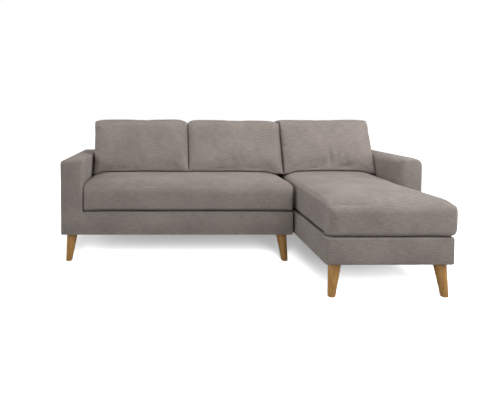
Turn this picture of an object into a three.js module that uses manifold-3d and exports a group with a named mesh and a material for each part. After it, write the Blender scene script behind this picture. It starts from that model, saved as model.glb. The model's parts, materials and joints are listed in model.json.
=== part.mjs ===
import * as THREE from 'three';
import { mergeVertices } from 'three/addons/utils/BufferGeometryUtils.js';
import { RoundedBoxGeometry } from 'three/addons/geometries/RoundedBoxGeometry.js';
import Module from 'manifold-3d';

// Sectional sofa with chaise: a two-seat section with the left arm, hooked to a chaise section with
// the right arm. Millimetres, +Z up, the front faces -Y and the chaise is on the +X side.
// The origin is on the floor, under the middle of the whole sofa's outline.

const wasm = await Module();
wasm.setup();

// Plan sizes
const seatWidth = 643;
const sofaSeats = 2;
const chaiseWidth = 636;
const armWidth = 132;
const sectionGap = 14;
const sofaDepth = 860;
const chaiseReach = 598;
const cushionOverhang = 8;

// Heights above the floor
const underside = 170;
const deckTop = 310;
const armTop = 622;
const seatTop = 474;
const backCushionTop = 862;

// Upholstered back: thick at its foot, raked to a thinner top
const backFootThickness = 242;
const backTopThickness = 165;

// Clearance between neighbouring pieces, and how far a cutting shape runs past what it cuts
const fit = 0.3;
const overrun = 5;

// Padding and cloth
const border = { thickness: 16, edge: 7 };
const cover = { wall: 18, edge: 16, endWall: 6 };
const endCloth = { thickness: 4 };
const deck = { thickness: 14 };
const dustCloth = { thickness: 1.2, inset: 12 };
const upholsteryEdgeSteps = 2;
const borderEdgeSteps = 1;

// Timber frame
const rail = { thickness: 25 };
const legBoard = { thickness: 20, width: 110, inset: 4 };
const armBoard = { thickness: 18, inset: 12 };
const armTopRail = { thickness: 25 };
const backBoard = { thickness: 18 };
const backTopRail = { thickness: 30, depth: 60 };

// Elastic webbing, woven in two directions
const webbing = { thickness: 2.5, strap: 80, pitch: 190 };

// Turned, splayed legs on steel plates
const leg = {
  topRadius: 32, footRadius: 19, shoulder: 2, footChamfer: 2, insetX: 60, chaiseInsetX: 48, insetY: 52,
  sides: 16,
};
const legSplay = 19;
const plate = { size: 56, thickness: 4, corner: 6, cornerSteps: 2 };
const stud = { radius: 4, length: 26, play: 0.4, sides: 8 };

// Interlocking connector in the gap between the sections
const connector = {
  metal: 2, length: 220, height: 78, slotDepth: 30, lipHeight: 32, screwFlange: 38, topDrop: 14,
  slotPlay: 0.8, fromFront: 250,
};

// Seat cushions: box cushions with a crowned top
const seatCushion = {
  edge: 26, crown: 36, drawIn: 5, faceSwell: 3, sideGap: 2, rearGap: 2, chaiseCorner: 56, chaiseFlare: 18,
};
// Back cushions: fullest at the foot, with a swelling face and a rounded top edge. They share the
// room between the arms and stand pushed up towards the right arm, clear of the left one.
const backCushions = 3;
const backCushion = {
  thickness: 274, edge: 40, wedge: 58, faceCrown: 22, topCrown: 10, drawIn: 7, gap: 3, leftArmGap: 25,
  topEdgeDrop: 6,
};
const edgeSteps = 2;
const seatSteps = { longSteps: 14, shortSteps: 10, highSteps: 6 };
const backSteps = { wideSteps: 12, deepSteps: 6, highSteps: 10 };

// Sizes that follow from those above
const sofaWidth = sofaSeats * seatWidth;
const sofaSectionWidth = armWidth + sofaWidth;
const chaiseSectionWidth = chaiseWidth + armWidth;
const overallWidth = sofaSectionWidth + sectionGap + chaiseSectionWidth;
const betweenArms = sofaWidth + sectionGap + chaiseWidth;
const backPitch = (betweenArms - backCushion.leftArmGap) / backCushions;
const backCushionWidth = backPitch - backCushion.gap;
const rearPlane = (sofaDepth + chaiseReach + cushionOverhang) / 2;
const frontPlane = rearPlane - sofaDepth;
const backRakeShare = (backFootThickness - backTopThickness) / (armTop - underside);
const baseRear = sofaDepth - backFootThickness - fit;
const legBoardTop = underside + legBoard.thickness;
const railFoot = legBoardTop + fit;
const railTop = deckTop - deck.thickness - webbing.thickness - 2 * fit;
const plateTop = underside - dustCloth.thickness - 2 * fit;
const legTop = plateTop - plate.thickness - fit;
const cushionBottom = deckTop + fit;
const crownTop = seatTop + seatCushion.crown;
const backCushionBottom = crownTop + fit;

// Finishes
const finishes = {
  upholstery: { color: 0x8c8480, roughness: 0.92, metalness: 0 },
  cushionCloth: { color: 0x938b86, roughness: 0.92, metalness: 0 },
  legWood: { color: 0xb07a3e, roughness: 0.45, metalness: 0 },
  frameTimber: { color: 0xd2b48a, roughness: 0.7, metalness: 0 },
  elastic: { color: 0x2c2b2a, roughness: 0.85, metalness: 0 },
  deckCloth: { color: 0x6f6964, roughness: 0.95, metalness: 0 },
  dustFelt: { color: 0x1d1d1e, roughness: 0.98, metalness: 0 },
  zincSteel: { color: 0xb4b6b8, roughness: 0.35, metalness: 1 },
};

const middle = ([low, high]) => (low + high) / 2;
const length = ([low, high]) => high - low;

function addPiece(section, name, geometry, finish, x = 0, y = 0, z = 0) {
  const mesh = new THREE.Mesh(geometry, new THREE.MeshStandardMaterial(finishes[finish]));
  mesh.name = name;
  mesh.position.set(x, y, z);
  section.add(mesh);
  return mesh;
}

// A square-edged piece that fills three spans.
function addBoard(section, name, finish, spanX, spanY, spanZ) {
  const geometry = new THREE.BoxGeometry(length(spanX), length(spanY), length(spanZ));
  addPiece(section, name, geometry, finish, middle(spanX), middle(spanY), middle(spanZ));
}

// A padded panel with soft edges that fills three spans.
function addPaddedPanel(section, name, finish, spanX, spanY, spanZ) {
  const geometry = new RoundedBoxGeometry(
    length(spanX), length(spanY), length(spanZ), borderEdgeSteps, border.edge,
  );
  addPiece(section, name, geometry, finish, middle(spanX), middle(spanY), middle(spanZ));
}

// A solid for adding and cutting, from a closed geometry.
function solidOf(geometry) {
  const bare = geometry.clone();
  bare.deleteAttribute('normal');
  bare.deleteAttribute('uv');
  const merged = mergeVertices(bare);
  return new wasm.Manifold(new wasm.Mesh({
    numProp: 3,
    vertProperties: new Float32Array(merged.attributes.position.array),
    triVerts: new Uint32Array(merged.index.array),
  }));
}

function geometryOf(solid) {
  const mesh = solid.getMesh();
  const geometry = new THREE.BufferGeometry();
  geometry.setAttribute('position', new THREE.BufferAttribute(mesh.vertProperties, mesh.numProp));
  geometry.setIndex(new THREE.BufferAttribute(mesh.triVerts, 1));
  geometry.computeVertexNormals();
  return geometry;
}

function boxSolid(spanX, spanY, spanZ) {
  const geometry = new THREE.BoxGeometry(length(spanX), length(spanY), length(spanZ));
  geometry.translate(middle(spanX), middle(spanY), middle(spanZ));
  return solidOf(geometry);
}

// A padded arm: a soft-edged box, open below for its frame. Its inner wall, the one towards the
// seat, stops above the leg boards.
function armCoverGeometry(innerSide) {
  const spans = [[0, armWidth], [0, sofaDepth], [underside, armTop]];
  const outside = new RoundedBoxGeometry(
    ...spans.map(length), upholsteryEdgeSteps, cover.edge,
  );
  outside.translate(...spans.map(middle));
  const hollowX = [cover.wall, armWidth - cover.wall];
  const hollowY = [cover.wall, sofaDepth - cover.wall];
  const hollow = boxSolid(hollowX, hollowY, [underside - overrun, armTop - cover.wall]);
  const doorX = innerSide > 0 ? [armWidth / 2, armWidth + overrun] : [-overrun, armWidth / 2];
  const door = boxSolid(doorX, hollowY, [underside - overrun, railFoot]);
  return geometryOf(solidOf(outside).subtract(hollow).subtract(door));
}

// The side outline of the padded back, drawn in from its faces by a margin.
function backOutline(margin) {
  const foot = underside + (margin ? -overrun : 0);
  const top = armTop - margin;
  const faceAt = (z) => sofaDepth - backFootThickness + backRakeShare * (z - underside) + margin;
  const rear = sofaDepth - margin;
  const round = margin ? 0 : cover.edge;
  const shape = new THREE.Shape();
  shape.moveTo(faceAt(foot), foot);
  shape.lineTo(rear, foot);
  if (round > 0) {
    shape.lineTo(rear, top - round);
    shape.quadraticCurveTo(rear, top, rear - round, top);
    shape.lineTo(faceAt(top) + round, top);
    shape.quadraticCurveTo(faceAt(top), top, faceAt(top - round), top - round);
  } else {
    shape.lineTo(rear, top);
    shape.lineTo(faceAt(top), top);
  }
  return shape;
}

// An outline in Y and Z, drawn out along +X from a start.
function extrudeAlongX(shape, startX, width, curveSegments) {
  const geometry = new THREE.ExtrudeGeometry(shape, {
    depth: width, bevelEnabled: false, curveSegments,
  });
  geometry.applyMatrix4(new THREE.Matrix4().makeBasis(
    new THREE.Vector3(0, 1, 0), new THREE.Vector3(0, 0, 1), new THREE.Vector3(1, 0, 0),
  ));
  geometry.translate(startX, 0, 0);
  return geometry;
}

// A padded back: raked in front, upright behind, open below. Its ends stop above the leg boards.
function backCoverGeometry(width) {
  const outside = solidOf(extrudeAlongX(backOutline(0), 0, width, upholsteryEdgeSteps + 1));
  const innerWidth = width - 2 * cover.endWall;
  const hollow = solidOf(extrudeAlongX(backOutline(cover.wall), cover.endWall, innerWidth, 1));
  const boardY = legBoardRearSpan();
  const doorY = [boardY[0] - fit, sofaDepth - cover.wall];
  const door = boxSolid([-overrun, width + overrun], doorY, [underside - overrun, railFoot]);
  return geometryOf(outside.subtract(hollow).subtract(door));
}

function legBoardRearSpan() {
  const rear = sofaDepth - cover.wall - fit;
  return [rear - legBoard.width, rear];
}

// Elastic straps woven both ways and stapled at their ends, with one along each edge.
function webbingGeometry(spanX, spanY) {
  const straps = (span) => {
    const count = Math.max(1, Math.round((length(span) - webbing.strap) / webbing.pitch));
    const pitch = (length(span) - webbing.strap) / count;
    return Array.from({ length: count + 1 }, (_, i) => [
      span[0] + i * pitch, span[0] + i * pitch + webbing.strap,
    ]);
  };
  const spanZ = [0, webbing.thickness];
  return geometryOf([
    ...straps(spanX).map((strapX) => boxSolid(strapX, spanY, spanZ)),
    ...straps(spanY).map((strapY) => boxSolid(spanX, strapY, spanZ)),
  ].reduce((net, strap) => net.add(strap)));
}

// A shear that moves a leg's foot outwards in plan, and leaves its flat top and foot level.
function splayMatrix(outX, outY) {
  const slope = legSplay / legTop;
  return new THREE.Matrix4().set(
    1, 0, -outX * slope, 0,
    0, 1, -outY * slope, 0,
    0, 0, 1, 0,
    0, 0, 0, 1,
  );
}

// A turned, tapered leg with a blind hole in its top for the plate's stud. Its own origin is in
// the middle of its top.
function legGeometry(outX, outY) {
  const holeRadius = stud.radius + stud.play;
  const outline = [
    [0, -legTop],
    [leg.footRadius - leg.footChamfer, -legTop],
    [leg.footRadius, leg.footChamfer - legTop],
    [leg.topRadius, -leg.shoulder],
    [leg.topRadius - leg.shoulder, 0],
    [holeRadius, 0],
    [holeRadius, -stud.length - stud.play],
    [0, -stud.length - stud.play],
  ].map(([r, z]) => new THREE.Vector2(r, z));
  const geometry = new THREE.LatheGeometry(outline, leg.sides);
  geometry.rotateX(Math.PI / 2);
  return geometry.applyMatrix4(splayMatrix(outX, outY));
}

// A steel plate with a slanted stud that screws into the leg. Its own origin is in the middle of
// the leg's top, a little below the plate.
function legPlateGeometry(outX, outY) {
  const half = plate.size / 2;
  const straight = half - plate.corner;
  const shape = new THREE.Shape();
  shape.absarc(straight, straight, plate.corner, 0, Math.PI / 2);
  shape.absarc(-straight, straight, plate.corner, Math.PI / 2, Math.PI);
  shape.absarc(-straight, -straight, plate.corner, Math.PI, 3 * Math.PI / 2);
  shape.absarc(straight, -straight, plate.corner, 3 * Math.PI / 2, 2 * Math.PI);
  const flat = new THREE.ExtrudeGeometry(shape, {
    depth: plate.thickness, bevelEnabled: false, curveSegments: plate.cornerSteps,
  });
  flat.translate(0, 0, fit);
  const studTop = fit + plate.thickness / 2;
  const shank = new THREE.CylinderGeometry(stud.radius, stud.radius, studTop + stud.length, stud.sides);
  shank.rotateX(Math.PI / 2);
  shank.translate(0, 0, (studTop - stud.length) / 2);
  shank.applyMatrix4(splayMatrix(outX, outY));
  return geometryOf(solidOf(flat).add(solidOf(shank)));
}

function addLeg(section, place, x, y, outX, outY) {
  addPiece(section, `${place}_leg`, legGeometry(outX, outY), 'legWood', x, y, legTop);
  addPiece(section, `${place}_leg_plate`, legPlateGeometry(outX, outY), 'zincSteel', x, y, legTop);
}

// A rounded block whose faces a form function then swells or draws in. The form gets each
// vertex with its place as shares, from -1 to 1, of the half sizes.
function stuffedGeometry(size, edge, steps, form) {
  const geometry = new THREE.BoxGeometry(1, 1, 1, steps.x, steps.y, steps.z);
  const half = size.clone().multiplyScalar(0.5);
  const stations = (halfSize, count) => {
    const flat = halfSize - edge;
    const side = (k) => flat + edge * Math.tan((k / edgeSteps) * (Math.PI / 4));
    const flatSteps = count - 2 * edgeSteps;
    return Array.from({ length: count + 1 }, (_, i) => {
      if (i < edgeSteps) return -side(edgeSteps - i);
      if (i > count - edgeSteps) return side(i - count + edgeSteps);
      return flat * (2 * (i - edgeSteps) / flatSteps - 1);
    });
  };
  const lists = ['x', 'y', 'z'].map((axis) => stations(half[axis], steps[axis]));
  const position = geometry.attributes.position;
  const core = half.clone().subScalar(edge);
  const point = new THREE.Vector3();
  const nearest = new THREE.Vector3();
  for (let i = 0; i < position.count; i++) {
    point.fromBufferAttribute(position, i).addScalar(0.5);
    point.set(
      lists[0][Math.round(point.x * steps.x)],
      lists[1][Math.round(point.y * steps.y)],
      lists[2][Math.round(point.z * steps.z)],
    );
    nearest.copy(point).clamp(core.clone().negate(), core);
    point.sub(nearest).setLength(edge).add(nearest);
    form(point, point.clone().divide(half));
    position.setXYZ(i, point.x, point.y, point.z);
  }
  geometry.deleteAttribute('normal');
  geometry.deleteAttribute('uv');
  const merged = mergeVertices(geometry);
  merged.computeVertexNormals();
  return merged;
}

// One at the middle of a face and nothing at its edges, with a nearly flat middle.
const swell = (t) => 1 - (t * t) ** 2;

// Turns the square front corners of a plan outline into arcs.
function roundFrontCorners(point, half, radius) {
  const past = new THREE.Vector2(
    Math.abs(point.x) - (half.x - radius), -point.y - (half.y - radius),
  );
  if (past.x <= 0 || past.y <= 0) return;
  const pull = Math.max(past.x, past.y) / past.length();
  point.x = Math.sign(point.x) * (half.x - radius + pull * past.x);
  point.y = radius - half.y - pull * past.y;
}

// A box cushion between three spans: flat below, crowned above, sides drawn in at mid length.
// A free front has rounder corners, and its sides flare out in front of the arm.
function addSeatCushion(parent, name, spanX, spanY, corner = 0, flareFrom = spanY[0]) {
  const spanZ = [cushionBottom, seatTop];
  const size = new THREE.Vector3(length(spanX), length(spanY), length(spanZ));
  const steps = length(spanX) > length(spanY)
    ? { x: seatSteps.longSteps, y: seatSteps.shortSteps, z: seatSteps.highSteps }
    : { x: seatSteps.shortSteps, y: seatSteps.longSteps, z: seatSteps.highSteps };
  const freeLength = flareFrom - spanY[0];
  const half = size.clone().multiplyScalar(0.5);
  const geometry = stuffedGeometry(size, seatCushion.edge, steps, (point, share) => {
    const upper = Math.max(share.z, 0);
    point.z += seatCushion.crown * swell(share.x) * swell(share.y) * upper;
    point.y -= share.y * seatCushion.faceSwell * (1 - swell(share.z));
    if (corner > 0) {
      const behindFront = Math.min(point.y + half.y, freeLength);
      const flareShare = 1 - (behindFront / freeLength) ** 2;
      point.x += share.x * seatCushion.chaiseFlare * flareShare * swell(share.z);
      roundFrontCorners(point, half, corner);
    } else {
      point.x -= share.x * seatCushion.drawIn * swell(share.y) * (1 - swell(share.z) / 2);
    }
  });
  addPiece(parent, name, geometry, 'cushionCloth', middle(spanX), middle(spanY), middle(spanZ));
}

// A loose back cushion that leans with the raked back: fullest at the foot, with a front face and
// a top that swell, and sides that draw in between the corners.
function addBackCushion(parent, name, start) {
  const spanX = [start, start + backCushionWidth];
  const height = backCushionTop - backCushionBottom - backCushion.topCrown;
  const size = new THREE.Vector3(length(spanX), backCushion.thickness, height);
  const steps = { x: backSteps.wideSteps, y: backSteps.deepSteps, z: backSteps.highSteps };
  const geometry = stuffedGeometry(size, backCushion.edge, steps, (point, share) => {
    const forward = Math.max(-share.y, 0);
    const upper = Math.max(share.z, 0);
    point.x -= share.x * backCushion.drawIn * swell(share.z);
    point.y -= backCushion.faceCrown * swell(share.x) * swell(share.z) * forward;
    point.y += backCushion.wedge * share.z * forward;
    point.z += backCushion.topCrown * swell(share.x) * swell(share.y) * upper;
    point.z -= backCushion.topEdgeDrop * (1 - swell(share.x)) * upper;
    point.y += backRakeShare * point.z;
  });
  const centreZ = backCushionBottom + height / 2;
  const faceY = sofaDepth - backFootThickness + backRakeShare * (centreZ - underside);
  const centreY = faceY - fit - backCushion.thickness / 2;
  addPiece(parent, name, geometry, 'cushionCloth', middle(spanX), centreY, centreZ);
}

// The timber ring, webbing and deck of a seat base between two side planes and the front plane.
function addSeatBase(section, prefix, spanX, front, crossRail) {
  const railX = [spanX[0], spanX[1]];
  const ringZ = [railFoot, railTop];
  const frontY = [front, front + rail.thickness];
  const rearY = [baseRear - rail.thickness, baseRear];
  const sideY = [frontY[1] + fit, rearY[0] - fit];
  addBoard(section, `${prefix}_front_rail`, 'frameTimber', railX, frontY, ringZ);
  addBoard(section, `${prefix}_rear_rail`, 'frameTimber', railX, rearY, ringZ);
  const leftX = [railX[0], railX[0] + rail.thickness];
  const rightX = [railX[1] - rail.thickness, railX[1]];
  addBoard(section, `${prefix}_left_rail`, 'frameTimber', leftX, sideY, ringZ);
  addBoard(section, `${prefix}_right_rail`, 'frameTimber', rightX, sideY, ringZ);
  if (crossRail === 'lengthways') {
    const centre = middle(railX);
    const crossX = [centre - rail.thickness / 2, centre + rail.thickness / 2];
    addBoard(section, `${prefix}_centre_rail`, 'frameTimber', crossX, sideY, ringZ);
  } else {
    const centre = middle(sideY);
    const crossX = [railX[0] + rail.thickness + fit, railX[1] - rail.thickness - fit];
    const crossY = [centre - rail.thickness / 2, centre + rail.thickness / 2];
    addBoard(section, `${prefix}_centre_rail`, 'frameTimber', crossX, crossY, ringZ);
  }
  const netY = [front, baseRear];
  addPiece(section, `${prefix}_seat_webbing`, webbingGeometry(railX, netY), 'elastic', 0, 0, railTop + fit);
  const deckBottom = railTop + webbing.thickness + 2 * fit;
  addBoard(section, `${prefix}_seat_deck`, 'deckCloth', railX, netY, [deckBottom, deckTop]);
}

// An arm: a padded cover over an upright board with a rail along its top.
function addArm(section, prefix, armX, innerSide) {
  addPiece(section, `${prefix}_arm_cover`, armCoverGeometry(innerSide), 'upholstery', armX, 0, 0);
  const railX = [armX + cover.wall + fit, armX + armWidth - cover.wall - fit];
  const railY = [cover.wall + fit, sofaDepth - cover.wall - fit];
  const armRailTop = armTop - cover.wall - fit;
  const railZ = [armRailTop - armTopRail.thickness, armRailTop];
  addBoard(section, `${prefix}_arm_top_rail`, 'frameTimber', railX, railY, railZ);
  const boardX = innerSide > 0
    ? [railX[1] - armBoard.thickness, railX[1]]
    : [railX[0], railX[0] + armBoard.thickness];
  const boardY = [railY[0] + armBoard.inset, railY[1] - armBoard.inset];
  addBoard(section, `${prefix}_arm_board`, 'frameTimber', boardX, boardY, [railFoot, railZ[0] - fit]);
}

// A padded back: a raked cover over an upright board with a rail along its top.
function addBack(section, prefix, spanX) {
  const skin = backCoverGeometry(length(spanX));
  addPiece(section, `${prefix}_back_cover`, skin, 'upholstery', spanX[0], 0, 0);
  const insideX = [spanX[0] + cover.endWall + fit, spanX[1] - cover.endWall - fit];
  const inside = sofaDepth - cover.wall - fit;
  const boardY = [inside - backBoard.thickness, inside];
  const railTopZ = armTop - cover.wall - fit;
  const railZ = [railTopZ - backTopRail.thickness, railTopZ];
  const railY = [inside - backTopRail.depth, inside];
  addBoard(section, `${prefix}_back_top_rail`, 'frameTimber', insideX, railY, railZ);
  addBoard(section, `${prefix}_back_board`, 'frameTimber', insideX, boardY, [railFoot, railZ[0] - fit]);
}

function addLegBoards(section, prefix, frontX, rearX, front) {
  const boardZ = [underside, legBoardTop];
  const frontY = [front, front + legBoard.width];
  addBoard(section, `${prefix}_front_leg_board`, 'frameTimber', frontX, frontY, boardZ);
  addBoard(section, `${prefix}_rear_leg_board`, 'frameTimber', rearX, legBoardRearSpan(), boardZ);
}

// The black cloth stapled under a section, drawn in from the outline of the padding.
function addDustCover(section, prefix, outline) {
  const shape = new THREE.Shape(outline.map(([x, y]) => new THREE.Vector2(x, y)));
  const geometry = new THREE.ExtrudeGeometry(shape, { depth: dustCloth.thickness, bevelEnabled: false });
  addPiece(section, `${prefix}_dust_cover`, geometry, 'dustFelt', 0, 0, plateTop + fit);
}

// Connector halves, drawn as outlines in X and Z and drawn out along Y. The pocket hangs on the
// sofa section, and the tongue on the chaise section drops into it.
function connectorGeometry(outline) {
  const shape = new THREE.Shape(outline.map(([x, z]) => new THREE.Vector2(x, z)));
  const geometry = new THREE.ExtrudeGeometry(shape, { depth: connector.length, bevelEnabled: false });
  geometry.rotateX(Math.PI / 2);
  geometry.translate(0, connector.length / 2, 0);
  return geometry;
}

function pocketOutline() {
  const { metal, height, lipHeight, slotPlay } = connector;
  const lipOuter = 3 * metal + 2 * fit + slotPlay;
  return [
    [fit, -height], [lipOuter, -height], [lipOuter, lipHeight - height],
    [lipOuter - metal, lipHeight - height], [lipOuter - metal, metal - height],
    [fit + metal, metal - height], [fit + metal, 0], [fit, 0],
  ];
}

function tongueOutline() {
  const { metal, height, lipHeight, slotDepth, screwFlange } = connector;
  const outer = sectionGap - fit;
  const bridgeBottom = lipHeight - height + fit;
  const inner = metal + 2 * fit;
  return [
    [inner, bridgeBottom - slotDepth + metal], [inner + metal, bridgeBottom - slotDepth + metal],
    [inner + metal, bridgeBottom], [outer, bridgeBottom], [outer, bridgeBottom + screwFlange],
    [outer - metal, bridgeBottom + screwFlange], [outer - metal, bridgeBottom + metal],
    [inner, bridgeBottom + metal],
  ];
}

function addConnectorHalf(section, name, outline, x) {
  const geometry = connectorGeometry(outline);
  addPiece(section, name, geometry, 'zincSteel', x, connector.fromFront, railTop - connector.topDrop);
}

// Sofa section: x from its left arm's outer face, y from the front of the arms.
function makeSofaSection() {
  const section = new THREE.Group();
  const baseX = [armWidth + fit, sofaSectionWidth];
  const timberX = [baseX[0], baseX[1] - endCloth.thickness - fit];
  const timberFront = border.thickness + fit;
  addSeatBase(section, 'sofa', timberX, timberFront, 'lengthways');
  const boardX = [cover.wall + legBoard.inset, timberX[1]];
  addLegBoards(section, 'sofa', boardX, boardX, cover.wall + fit);
  const borderZ = [underside, deckTop];
  addPaddedPanel(section, 'sofa_front_border', 'upholstery', baseX, [0, border.thickness], borderZ);
  const clothX = [baseX[1] - endCloth.thickness, baseX[1]];
  addBoard(section, 'sofa_end_cloth', 'upholstery', clothX, [timberFront, baseRear], borderZ);
  addArm(section, 'left', 0, 1);
  addBack(section, 'sofa', baseX);
  addDustCover(section, 'sofa', [
    [dustCloth.inset, dustCloth.inset],
    [sofaSectionWidth - dustCloth.inset, dustCloth.inset],
    [sofaSectionWidth - dustCloth.inset, sofaDepth - dustCloth.inset],
    [dustCloth.inset, sofaDepth - dustCloth.inset],
  ]);
  const legX = { left: leg.insetX, right: sofaSectionWidth - leg.insetX };
  const legY = { front: leg.insetY, rear: sofaDepth - leg.insetY };
  for (const [side, outX] of [['left', -1], ['right', 1]]) {
    for (const [end, outY] of [['front', -1], ['rear', 1]]) {
      addLeg(section, `sofa_${end}_${side}`, legX[side], legY[end], outX, outY);
    }
  }
  addConnectorHalf(section, 'connector_pocket', pocketOutline(), sofaSectionWidth);
  const cushionX = [armWidth + seatCushion.sideGap, sofaSectionWidth - seatCushion.sideGap];
  addSeatCushion(section, 'bench_cushion', cushionX, [0, seatCushionRear()]);
  const middleStart = sofaSectionWidth + sectionGap + chaiseWidth - 2 * backPitch;
  addBackCushion(section, 'left_back_cushion', middleStart - backPitch);
  addBackCushion(section, 'middle_back_cushion', middleStart);
  return section;
}

// The seat cushions end just in front of the raked back at deck height.
function seatCushionRear() {
  const face = sofaDepth - backFootThickness + backRakeShare * (deckTop - underside);
  return face - seatCushion.rearGap;
}

// Chaise section: x from its left side, y from the front of the arms, so the chaise reaches
// into negative y.
function makeChaiseSection() {
  const section = new THREE.Group();
  const front = -chaiseReach;
  const timberX = [border.thickness + fit, chaiseWidth - border.thickness - fit];
  const timberFront = front + border.thickness + fit;
  addSeatBase(section, 'chaise', timberX, timberFront, 'crossways');
  const rearBoardX = [legBoard.inset, chaiseSectionWidth - cover.wall - legBoard.inset];
  addLegBoards(section, 'chaise', timberX, rearBoardX, timberFront);
  const borderZ = [underside, deckTop];
  const sideY = [timberFront, baseRear];
  const frontBorderY = [front, front + border.thickness];
  addPaddedPanel(section, 'chaise_front_border', 'upholstery', [0, chaiseWidth], frontBorderY, borderZ);
  addPaddedPanel(section, 'chaise_left_border', 'upholstery', [0, border.thickness], sideY, borderZ);
  const rightX = [chaiseWidth - border.thickness, chaiseWidth - fit];
  addPaddedPanel(section, 'chaise_right_border', 'upholstery', rightX, sideY, borderZ);
  addArm(section, 'right', chaiseWidth, -1);
  addBack(section, 'chaise', [0, chaiseWidth - fit]);
  addDustCover(section, 'chaise', [
    [dustCloth.inset, front + dustCloth.inset],
    [chaiseWidth - dustCloth.inset, front + dustCloth.inset],
    [chaiseWidth - dustCloth.inset, dustCloth.inset],
    [chaiseSectionWidth - dustCloth.inset, dustCloth.inset],
    [chaiseSectionWidth - dustCloth.inset, sofaDepth - dustCloth.inset],
    [dustCloth.inset, sofaDepth - dustCloth.inset],
  ]);
  const frontY = front + leg.insetY;
  const rearY = sofaDepth - leg.insetY;
  addLeg(section, 'chaise_front_left', leg.insetX, frontY, -1, -1);
  addLeg(section, 'chaise_front_right', chaiseWidth - leg.chaiseInsetX, frontY, 1, -1);
  addLeg(section, 'chaise_rear_left', leg.insetX, rearY, -1, 1);
  addLeg(section, 'chaise_rear_right', chaiseSectionWidth - leg.insetX, rearY, 1, 1);
  addConnectorHalf(section, 'connector_tongue', tongueOutline(), -sectionGap);
  const cushionX = [-cushionOverhang / 2, chaiseWidth - seatCushion.sideGap];
  const cushionY = [front - cushionOverhang, seatCushionRear()];
  addSeatCushion(section, 'chaise_cushion', cushionX, cushionY, seatCushion.chaiseCorner, 0);
  addBackCushion(section, 'right_back_cushion', chaiseWidth - backPitch);
  return section;
}

const sofa = new THREE.Group();
const sofaSection = makeSofaSection();
sofaSection.position.set(-overallWidth / 2, frontPlane, 0);
const chaiseSection = makeChaiseSection();
chaiseSection.position.set(overallWidth / 2 - chaiseSectionWidth, frontPlane, 0);
sofa.add(sofaSection, chaiseSection);

export default sofa;
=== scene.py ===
"""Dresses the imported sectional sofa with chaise: cloth, cushions, legs, frame timber and studio.

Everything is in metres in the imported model's own frame: +Z up, the sofa faces -Y, and the chaise
is on the +X side.
"""

import sys

import json
import logging
import math
from collections.abc import Callable, Iterable, Sequence
from dataclasses import dataclass, field
from enum import Enum

import bmesh
import bpy
import numpy as np
from bmesh.types import BMEdge, BMesh, BMFace, BMLayerItem, BMVert
from bpy.types import ID, Material, Mesh, Node, NodeSocket, NodeTree, Object, bpy_prop_collection
from mathutils import Matrix, Vector, geometry, noise
from mathutils.bvhtree import BVHTree

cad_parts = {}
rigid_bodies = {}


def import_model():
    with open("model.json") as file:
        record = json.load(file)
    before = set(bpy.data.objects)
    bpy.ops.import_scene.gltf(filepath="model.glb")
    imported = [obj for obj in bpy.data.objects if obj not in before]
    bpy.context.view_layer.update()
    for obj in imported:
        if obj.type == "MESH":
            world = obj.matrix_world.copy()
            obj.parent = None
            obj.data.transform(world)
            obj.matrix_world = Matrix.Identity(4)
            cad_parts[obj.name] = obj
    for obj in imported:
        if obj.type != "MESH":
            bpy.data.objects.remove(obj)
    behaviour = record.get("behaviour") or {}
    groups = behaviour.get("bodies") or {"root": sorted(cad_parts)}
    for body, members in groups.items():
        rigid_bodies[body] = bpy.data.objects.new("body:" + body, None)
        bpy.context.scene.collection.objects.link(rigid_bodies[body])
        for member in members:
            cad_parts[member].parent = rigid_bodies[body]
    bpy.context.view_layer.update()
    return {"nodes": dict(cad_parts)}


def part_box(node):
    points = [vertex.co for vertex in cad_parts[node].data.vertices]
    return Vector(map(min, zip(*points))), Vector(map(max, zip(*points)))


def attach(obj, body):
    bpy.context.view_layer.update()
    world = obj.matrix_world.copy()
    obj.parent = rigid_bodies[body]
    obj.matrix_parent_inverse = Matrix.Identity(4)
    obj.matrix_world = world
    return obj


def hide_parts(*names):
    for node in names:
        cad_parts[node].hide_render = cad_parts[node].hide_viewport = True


log = logging.getLogger("sofa")

MM = 0.001
CLOTH_MAP = "cloth"
SEAM = "seam"
PLACE = "place"
FAR_FROM_SEAM = 1.0
MERGE = 0.01 * MM
# The share of a unit vector along an axis where an edge or a face points along that axis
ALONG = 0.9
# The share where a face still counts as being on that side
TOWARDS = 0.5
# How much of its place along the roll a panel also shifts across it
CUT_SLANT = 0.37
SMOOTH_BELOW = math.radians(50)
# Fields named for ripples, lumps, puckers, dips and droops hold how many fit in a metre

Settings = dict[str | int, object]
Links = dict[str | int, Node | NodeSocket]


def mm(*sizes: float) -> tuple[float, ...]:
    """Turns millimetres into metres."""
    return tuple(size * MM for size in sizes)


class Axis(Enum):
    """A direction of the shared frame."""

    X = 0
    Y = 1
    Z = 2

    @property
    def vector(self) -> Vector:
        """The unit vector along the axis."""
        return Vector([float(i == self.value) for i in range(3)])


class Side(Enum):
    """A side of a cushion's cut block, as an axis and a sign."""

    LEFT = (Axis.X, -1)
    RIGHT = (Axis.X, 1)
    FRONT = (Axis.Y, -1)
    REAR = (Axis.Y, 1)
    FOOT = (Axis.Z, -1)
    TOP = (Axis.Z, 1)


# Colour and node helpers


def linear(hex_value: str) -> tuple[float, float, float, float]:
    """Turns an sRGB hex value into linear red, green, blue and alpha.

    Args:
        hex_value: A colour such as "#8c8480".

    Returns:
        The linear colour with alpha 1.
    """
    parts = [int(hex_value[i:i + 2], 16) / 255 for i in (1, 3, 5)]
    turned = [p / 12.92 if p <= 0.04045 else ((p + 0.055) / 1.055) ** 2.4 for p in parts]
    return turned[0], turned[1], turned[2], 1.0


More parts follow.
